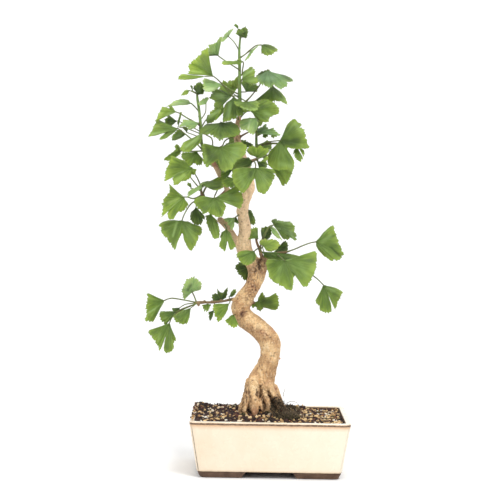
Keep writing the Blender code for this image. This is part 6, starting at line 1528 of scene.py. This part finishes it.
# leaves round the back, behind the rest: J, depth, way it points (degrees),
# reach and half spread
BEHIND = [
 ((232, 96), 34, 118, 15, 62, "stem_leader"), ((246, 92), 28, 60, 13, 60, "stem_leader"), ((224, 112), 44, 160, 14, 66, "stem_leader"),
 ((250, 118), 46, -60, 13, 64, "wood"), ((233, 128), 38, -120, 15, 66, "wood"), ((214, 150), 30, 200, 11, 60, "wood"),
 ((238, 158), 44, -90, 15, 68, "wood"), ((258, 146), 50, -30, 14, 64, "stem_right"), ((262, 172), 36, -70, 10, 60, "wood"),
 ((224, 162), 40, -140, 13, 62, "wood"), ((240, 182), 34, -100, 9, 60, "wood"), ((276, 152), 44, -20, 12, 58, "stem_right"),
 ((286, 262), 26, -60, 14, 60, "wood"), ((186, 172), 12, -150, 10, 56, "wood"),
]


def at_many(u, v, y):
    """at() for arrays."""
    a, b = np.asarray(u, float) - SHEET_MID, np.asarray(v, float) - SHEET_MID
    cr, sr = math.cos(VIEW_ROLL), math.sin(VIEW_ROLL)
    a, b = a * cr + b * sr, b * cr - a * sr
    cd, sd = math.cos(VIEW_DOWN), math.sin(VIEW_DOWN)
    k = (y - VIEW_Y) / (SHEET_FOCUS * cd - b * sd)
    return np.stack((VIEW_X + k * a, np.broadcast_to(y, np.shape(a)) * 1.0, VIEW_Z + k * (-SHEET_FOCUS * sd - b * cd)), axis=-1)


def margin_line(margin, joint, seed, count):
    """The margin as count points with the fine scallops of a ginkgo's edge."""
    rng = np.random.default_rng(seed)
    fine = smooth(margin, 12)
    run = np.concatenate(([0], np.cumsum(np.linalg.norm(np.diff(fine, axis=0), axis=1))))
    want = np.linspace(0, run[-1], count)
    line = np.stack((np.interp(want, run, fine[:, 0]), np.interp(want, run, fine[:, 1])), axis=1)
    out = line - joint
    reach = np.linalg.norm(out, axis=1)
    wave = np.zeros(count)
    for size, high in ((6.5, 0.32), (3.1, 0.44), (1.9, 0.34)):
        wave += high * np.sin(2 * math.pi * want / (size * rng.uniform(0.85, 1.2)) + rng.uniform(0, 6.3))
    ends = np.clip(np.minimum(want, run[-1] - want) / 2.5, 0, 1)
    # a few short tears
    for _ in range(int(run[-1] / 9)):
        spot = rng.uniform(0.08, 0.92) * run[-1]
        wave -= rng.uniform(0.6, 2.0) * np.exp(-((want - spot) / rng.uniform(0.25, 0.5)) ** 2)
    line = line + out / np.maximum(reach, 1e-6)[:, None] * (wave * ends * np.minimum(1, reach / 8))[:, None]
    return line, want / run[-1]


def blade_mesh(joint, depth, tilt, cup, margin, seed, marks=(), bow=BOW):
    """A leaf's blade, its vein coordinates and its painted light and shade."""
    rng = np.random.default_rng(seed)
    joint = np.array(joint, float)
    length = np.linalg.norm(np.diff(np.array(margin, float), axis=0), axis=1).sum()
    count = int(np.clip(length * 2.1, 30, 124))
    rows = int(np.clip(np.linalg.norm(np.array(margin, float) - joint, axis=1).max() * 0.55, 7, 13))
    line, s = margin_line(margin, joint, seed, count)
    angle = np.unwrap(np.arctan2(line[:, 1] - joint[1], line[:, 0] - joint[0]))
    fan = (angle - angle[0]) / (angle[-1] - angle[0]) if abs(angle[-1] - angle[0]) > 1e-3 else s
    t = np.linspace(0, 1, rows + 1)[1:]
    t = t ** 0.92
    S, T = np.meshgrid(s, t)
    F = np.meshgrid(fan, t)[0]
    middle = line[np.argmin(abs(s - 0.5))] - joint
    ray = line[None] - joint
    hug = 0.16 * ((1 - T) ** 1.5 * np.abs(2 * S - 1) ** 2)[..., None]
    flat = joint + T[..., None] * ((1 - hug) * ray + hug * middle * 0.8)
    j = at(joint[0], joint[1], depth)
    p = at_many(flat[..., 0], flat[..., 1], depth)
    size = np.linalg.norm(p - j, axis=-1).max()
    y = (depth + tilt[0] * (p[..., 0] - j[0]) + tilt[1] * (p[..., 2] - j[2])
         + cup * T * T * (2 * S - 1) ** 2 - bow * 4 * T * (1 - T) * min(1, size / 25))
    # pleats along the veins, a rolled margin and a soft waviness
    turn = abs(angle[-1] - angle[0])
    high = min(2.1, 0.062 * size)
    k1, k2, k3 = rng.uniform(1.4, 2.4), rng.uniform(3.0, 4.6), rng.uniform(7, 10)
    pleat = (0.62 * np.sin(2 * math.pi * (k1 * F + rng.uniform())) + 0.38 * np.sin(2 * math.pi * (k2 * F + rng.uniform()))
             + 0.12 * np.sin(2 * math.pi * (k3 * F + rng.uniform())))
    lift = high * T ** 1.25 * pleat * min(1, turn / 1.2)
    wavy = 0.28 * high * np.clip((T - 0.7) / 0.3, 0, 1) ** 2 * np.sin(2 * math.pi * (rng.uniform(5, 8) * S + rng.uniform()))
    roll = rng.choice((-1, 1)) * 0.35 * high * np.clip((T - 0.82) / 0.18, 0, 1) ** 2
    # creases: a light mark stands towards the viewer, a dark one sinks
    crease = np.zeros(flat.shape[:2]).ravel()
    for path, width, amount in marks:
        if width < 2.5:
            gap, _ = line_reach(flat.reshape(-1, 2), path)
            crease += 1.1 * amount * np.exp(-(gap / width) ** 2)
    y = y + lift + wavy + roll - crease.reshape(y.shape)
    uv = flat.reshape(-1, 2)
    front = at_many(uv[:, 0], uv[:, 1], y.reshape(-1))
    front = np.vstack(([at(joint[0], joint[1], depth)], front))
    faces = []
    for i in range(count - 1):
        faces.append((0, 1 + i, 2 + i))
    for r in range(rows - 1):
        a = 1 + r * count
        for i in range(count - 1):
            faces.append((a + i, a + count + i, a + count + i + 1, a + i + 1))
    n = normals_of(front, faces)
    n = n * (-1 if n[:, 1].mean() > 0 else 1)
    taper = np.concatenate(([1.0], np.full(count * (rows - 1), 1.0), np.full(count, 0.55)))
    back = front - n * (0.36 * taper)[:, None]
    total = len(front)
    faces += [tuple(c + total for c in reversed(f)) for f in faces]
    a = 1 + (rows - 1) * count
    for i in range(count - 1):
        faces.append((a + i, total + a + i, total + a + i + 1, a + i + 1))
    sides = [[0] + [1 + r * count for r in range(rows)], [0] + [r * count + count for r in range(rows)]]
    for number, side in enumerate(sides):
        for p0, p1 in zip(side[:-1], side[1:]):
            quad = (p0, total + p0, total + p1, p1)
            faces.append(quad if number == 0 else tuple(reversed(quad)))
    verts = np.vstack((front, back))
    shade = np.zeros(len(uv))
    for path, width, amount in marks:
        gap, _ = line_reach(uv, path)
        shade += amount * np.exp(-np.abs(gap / (0.85 * width)) ** 3)
    shade = np.concatenate(([shade[:count].mean()], shade))
    across = np.concatenate(([0.5], F.ravel()))
    out = np.concatenate(([0.0], T.ravel()))
    coords = np.stack((across * max(turn, 0.3) / math.pi, out), axis=1)
    under = np.concatenate((np.zeros(total), np.ones(total)))
    return (verts, outward(verts, faces), np.vstack((coords, coords)),
            {"shade": np.concatenate((shade, shade)), "under": under, "edge": np.concatenate((out, out)),
             "reach": np.full(2 * total, size)})


def stalk_mesh(joint, depth, way, tree, thick=0.56, into=0.6):
    """A stalk from the blade to a little inside what carries it."""
    start = at(joint[0], joint[1], depth)
    if way:
        best = None
        for y in np.arange(-70, 71, 2.0):
            spot = tree.find_nearest(Vector(at(*way[-1], y)))
            if best is None or spot[3] < best[0]:
                best = (spot[3], y, spot[0])
        uv = [joint] + list(way)
        run = np.cumsum([0] + [math.dist(uv[i], uv[i + 1]) for i in range(len(uv) - 1)])
        points = []
        for (u, v), d in zip(uv, run):
            share = d / run[-1]
            arc = share * share * (3 - 2 * share)
            points.append(at(u, v, start[1] + (best[1] - start[1]) * arc))
        if best[0] > 0.5:
            points.append(np.array(best[2]))
    else:
        spot = np.array(tree.find_nearest(Vector(start))[0])
        points = [start + (spot - start) * f for f in (0, 0.35, 0.7, 1.0)]
    points = smooth(points, 7) if len(points) > 2 else np.linspace(points[0], points[-1], 6)
    keep = [points[0]]
    for q in points[1:]:
        near = tree.find_nearest(Vector(q))
        keep.append(q)
        if (Vector(q) - near[0]).dot(near[1]) < -into:
            break
    keep = np.array(keep)
    if len(keep) < 3:
        keep = np.linspace(keep[0], keep[-1], 4)
    lead = keep[0] - keep[min(2, len(keep) - 1)]
    lead = lead / max(1e-6, np.linalg.norm(lead))
    # the stalk runs on a little into the blade, and thickens to its foot
    keep = np.vstack((keep[0] + lead * 1.6, keep[0] + lead * 0.7, keep))
    share = np.linspace(0, 1, len(keep))
    radius = thick * (0.92 + 0.22 * share + 0.55 * np.clip((share - 0.86) / 0.14, 0, 1))
    radius[0] *= 0.45
    radius[1] *= 0.8
    gap = np.linalg.norm(np.diff(keep, axis=0), axis=1)
    good = np.concatenate(([True], gap > 0.05))
    return tube(np.column_stack((keep, radius))[good], 7, 0.03)


def leaf_finish(name):
    face, rim, base, sheen = (srgb(*c) for c in HUES[name])
    f = Finish("leaf_" + name, 0.5)
    p = f.coords()
    across, out, _ = f.split(f.node("UVMap", uv_map="UVMap").outputs[0])
    shade, under, reach = f.value("shade"), f.value("under"), f.value("reach")
    # veins: they fork as they run outwards
    ray = f.node("CombineXYZ", {0: f.math("MULTIPLY", across, 34.0), 1: f.math("MULTIPLY", out, 1.3), 2: f.math("MULTIPLY", reach, 0.37)}).outputs[0]
    streak = f.noise(ray, 1.0, 3.0, 0.6)
    wide = f.noise(f.stretch(ray, (0.3, 0.8, 1.0)), 1.0, 2.0, 0.5)

    def comb(lines):
        w = f.math("SINE", f.math("MULTIPLY", f.math("ADD", across, f.math("MULTIPLY", streak, 0.006)), lines * 2 * math.pi))
        return f.math("POWER", f.math("MULTIPLY_ADD", w, 0.5, 0.5), 3.0)
    near, mid, far = comb(30.0), comb(60.0), comb(120.0)
    long_leaf = f.math("MULTIPLY", out, f.math("DIVIDE", reach, 26.0))
    veins = f.node("Mix", {0: f.remap(long_leaf, 0.22, 0.4), 2: near, 3: mid}, data_type="FLOAT").outputs[0]
    veins = f.node("Mix", {0: f.remap(long_leaf, 0.55, 0.8), 2: veins, 3: far}, data_type="FLOAT").outputs[0]
    colour = f.mix(f.remap(out, 0.0, 0.55, 1.0, 0.0), face, base)
    colour = f.mix(f.remap(f.math("ADD", out, f.math("MULTIPLY", f.math("SUBTRACT", wide, 0.5), 0.5)), 0.6, 1.02), colour, rim)
    colour = f.mix(f.remap(streak, 0.48, 0.68, 0.0, 0.42), colour, sheen)
    colour = f.mix(f.remap(wide, 0.3, 0.5, 0.75, 0.0), colour, base)
    colour = f.mix(f.math("MULTIPLY", veins, 0.36), colour, rim)
    colour = f.mix(f.remap(streak, 0.34, 0.46, 0.5, 0.0), colour, base)
    blotch = f.noise(p, 9.0, 3.0)
    colour = f.mix(f.remap(blotch, 0.35, 0.65, 0.0, 0.35), colour, base)
    tiny = f.remap(f.noise(p, 0.7, 2.0, 0.7), 0.62, 0.72, 0.0, 0.25)
    colour = f.mix(tiny, colour, srgb(178, 190, 100))
    # painted light and shade: light parts take the sheen colour, dark parts a shaded green
    broken = f.remap(streak, 0.35, 0.6, 0.7, 1.1)
    colour = f.mix(f.math("MULTIPLY", f.math("MAXIMUM", shade, 0.0), 0.7, clamp=True), colour, sheen)
    colour = f.mix(f.math("MULTIPLY", f.math("MULTIPLY", f.math("MAXIMUM", f.math("MULTIPLY", shade, -1.0), 0.0), broken), 0.72, clamp=True), colour, srgb(46, 64, 26))
    # a fine dark rim
    colour = f.mix(f.remap(out, 0.86, 0.96, 0.0, 0.4), colour, rim)
    colour = f.mix(f.remap(out, 0.975, 0.998, 0.0, 0.5), colour, srgb(92, 112, 44))
    colour = f.mix(f.math("MULTIPLY", under, 0.3), colour, srgb(150, 176, 112))
    height = f.math("ADD", f.math("MULTIPLY", veins, 0.55), f.math("MULTIPLY", streak, 0.9))
    f.set(colour=colour, rough=f.remap(streak, 0.3, 0.7, 0.42, 0.58), normal=f.bump(height, 0.4), subsurface=LEAF_GLOW)
    f.shader.inputs["Subsurface Scale"].default_value = 0.0009
    f.shader.inputs["Subsurface Radius"].default_value = (0.55, 1.0, 0.22)
    f.shader.inputs["Specular IOR Level"].default_value = 0.42
    return f.mat


def stalk_finish():
    f = Finish("leaf_stalk", 0.5)
    p = f.coords()
    colour = f.ramp(f.noise(p, 9.0, 3.0), [(0.32, srgb(78, 74, 38)), (0.5, srgb(94, 102, 48)), (0.68, srgb(112, 132, 60))])
    f.set(colour=colour, normal=f.bump(f.noise(f.stretch(p, (1, 1, 0.3)), 0.5, 2.0), 0.06))
    return f.mat


def fan_margin(joint, way, reach, spread, seed):
    rng = np.random.default_rng(seed)
    out = []
    n = 9
    for i in range(n):
        share = 2 * i / (n - 1) - 1
        a = math.radians(way + spread * share)
        notch = 0.30 * math.exp(-(share / 0.13) ** 2)
        r = reach * (1 - 0.16 * share ** 4 - notch + 0.05 * rng.normal())
        out.append((joint[0] + r * math.cos(a), joint[1] - r * math.sin(a)))
    return out


def make_leaves(wood, stems):
    carriers = dict(stems, wood=wood)
    mats = {name: leaf_finish(name) for name in HUES}
    stalk_mat = stalk_finish()

    def build(name, joint, depth, tilt, cup, margin, way, carrier, hue, marks, node, seed):
        verts, faces, uv, values = blade_mesh(joint, depth, tilt, cup, margin, seed, marks)
        more, joins = stalk_mesh(joint, depth, way, carriers[carrier], 0.82 if len(margin) > 8 else 0.64)
        n = len(verts)
        both = np.vstack((verts, more))
        index = [0] * len(faces) + [1] * len(joins)
        uv = np.vstack((uv, np.zeros((len(more), 2))))
        values = {k: np.concatenate((v, np.zeros(len(more)))) for k, v in values.items()}
        make(name, both, list(faces) + [tuple(c + n for c in f) for f in joins], [mats[hue], stalk_mat],
             node=node, index=index, sharp=62, uv=uv, values=values)

    for k, (name, joint, depth, tilt, cup, margin, way, carrier) in enumerate(LEAVES):
        hue, marks = LOOKS[name]
        build(name + "_fan", joint, depth, tilt, cup, margin, way, carrier, hue, marks, name, 300 + k)
    for k, (joint, depth, tilt, cup, margin, way, carrier, hue) in enumerate(SMALL):
        node = "trunk" if carrier == "wood" else carrier
        build("small_leaf_%02d" % (k + 1), joint, depth, tilt, cup, margin, way, carrier, hue, (), node, 500 + k)
    for k, (joint, depth, way, reach, spread, carrier) in enumerate(BEHIND):
        node = "trunk" if carrier == "wood" else carrier
        margin = fan_margin(joint, way, reach, spread, 700 + k)
        lean = (0.35 * math.cos(math.radians(way)), 0.35 * math.sin(math.radians(way)))
        hue = ("face", "deep", "bright")[k % 3]
        build("back_leaf_%02d" % (k + 1), joint, depth, lean, 3, margin, [], carrier, hue, (), node, 800 + k)


# ------------------------------------------------------------------------ scene
LEAF_GLOW = 0.22
make_camera()
make_stage()
make_pot()
finish_screens()
_, wood_tree = make_trunk()
stem_trees = make_stems()
make_soil(wood_tree)
make_moss(wood_tree)
make_leaves(wood_tree, stem_trees)
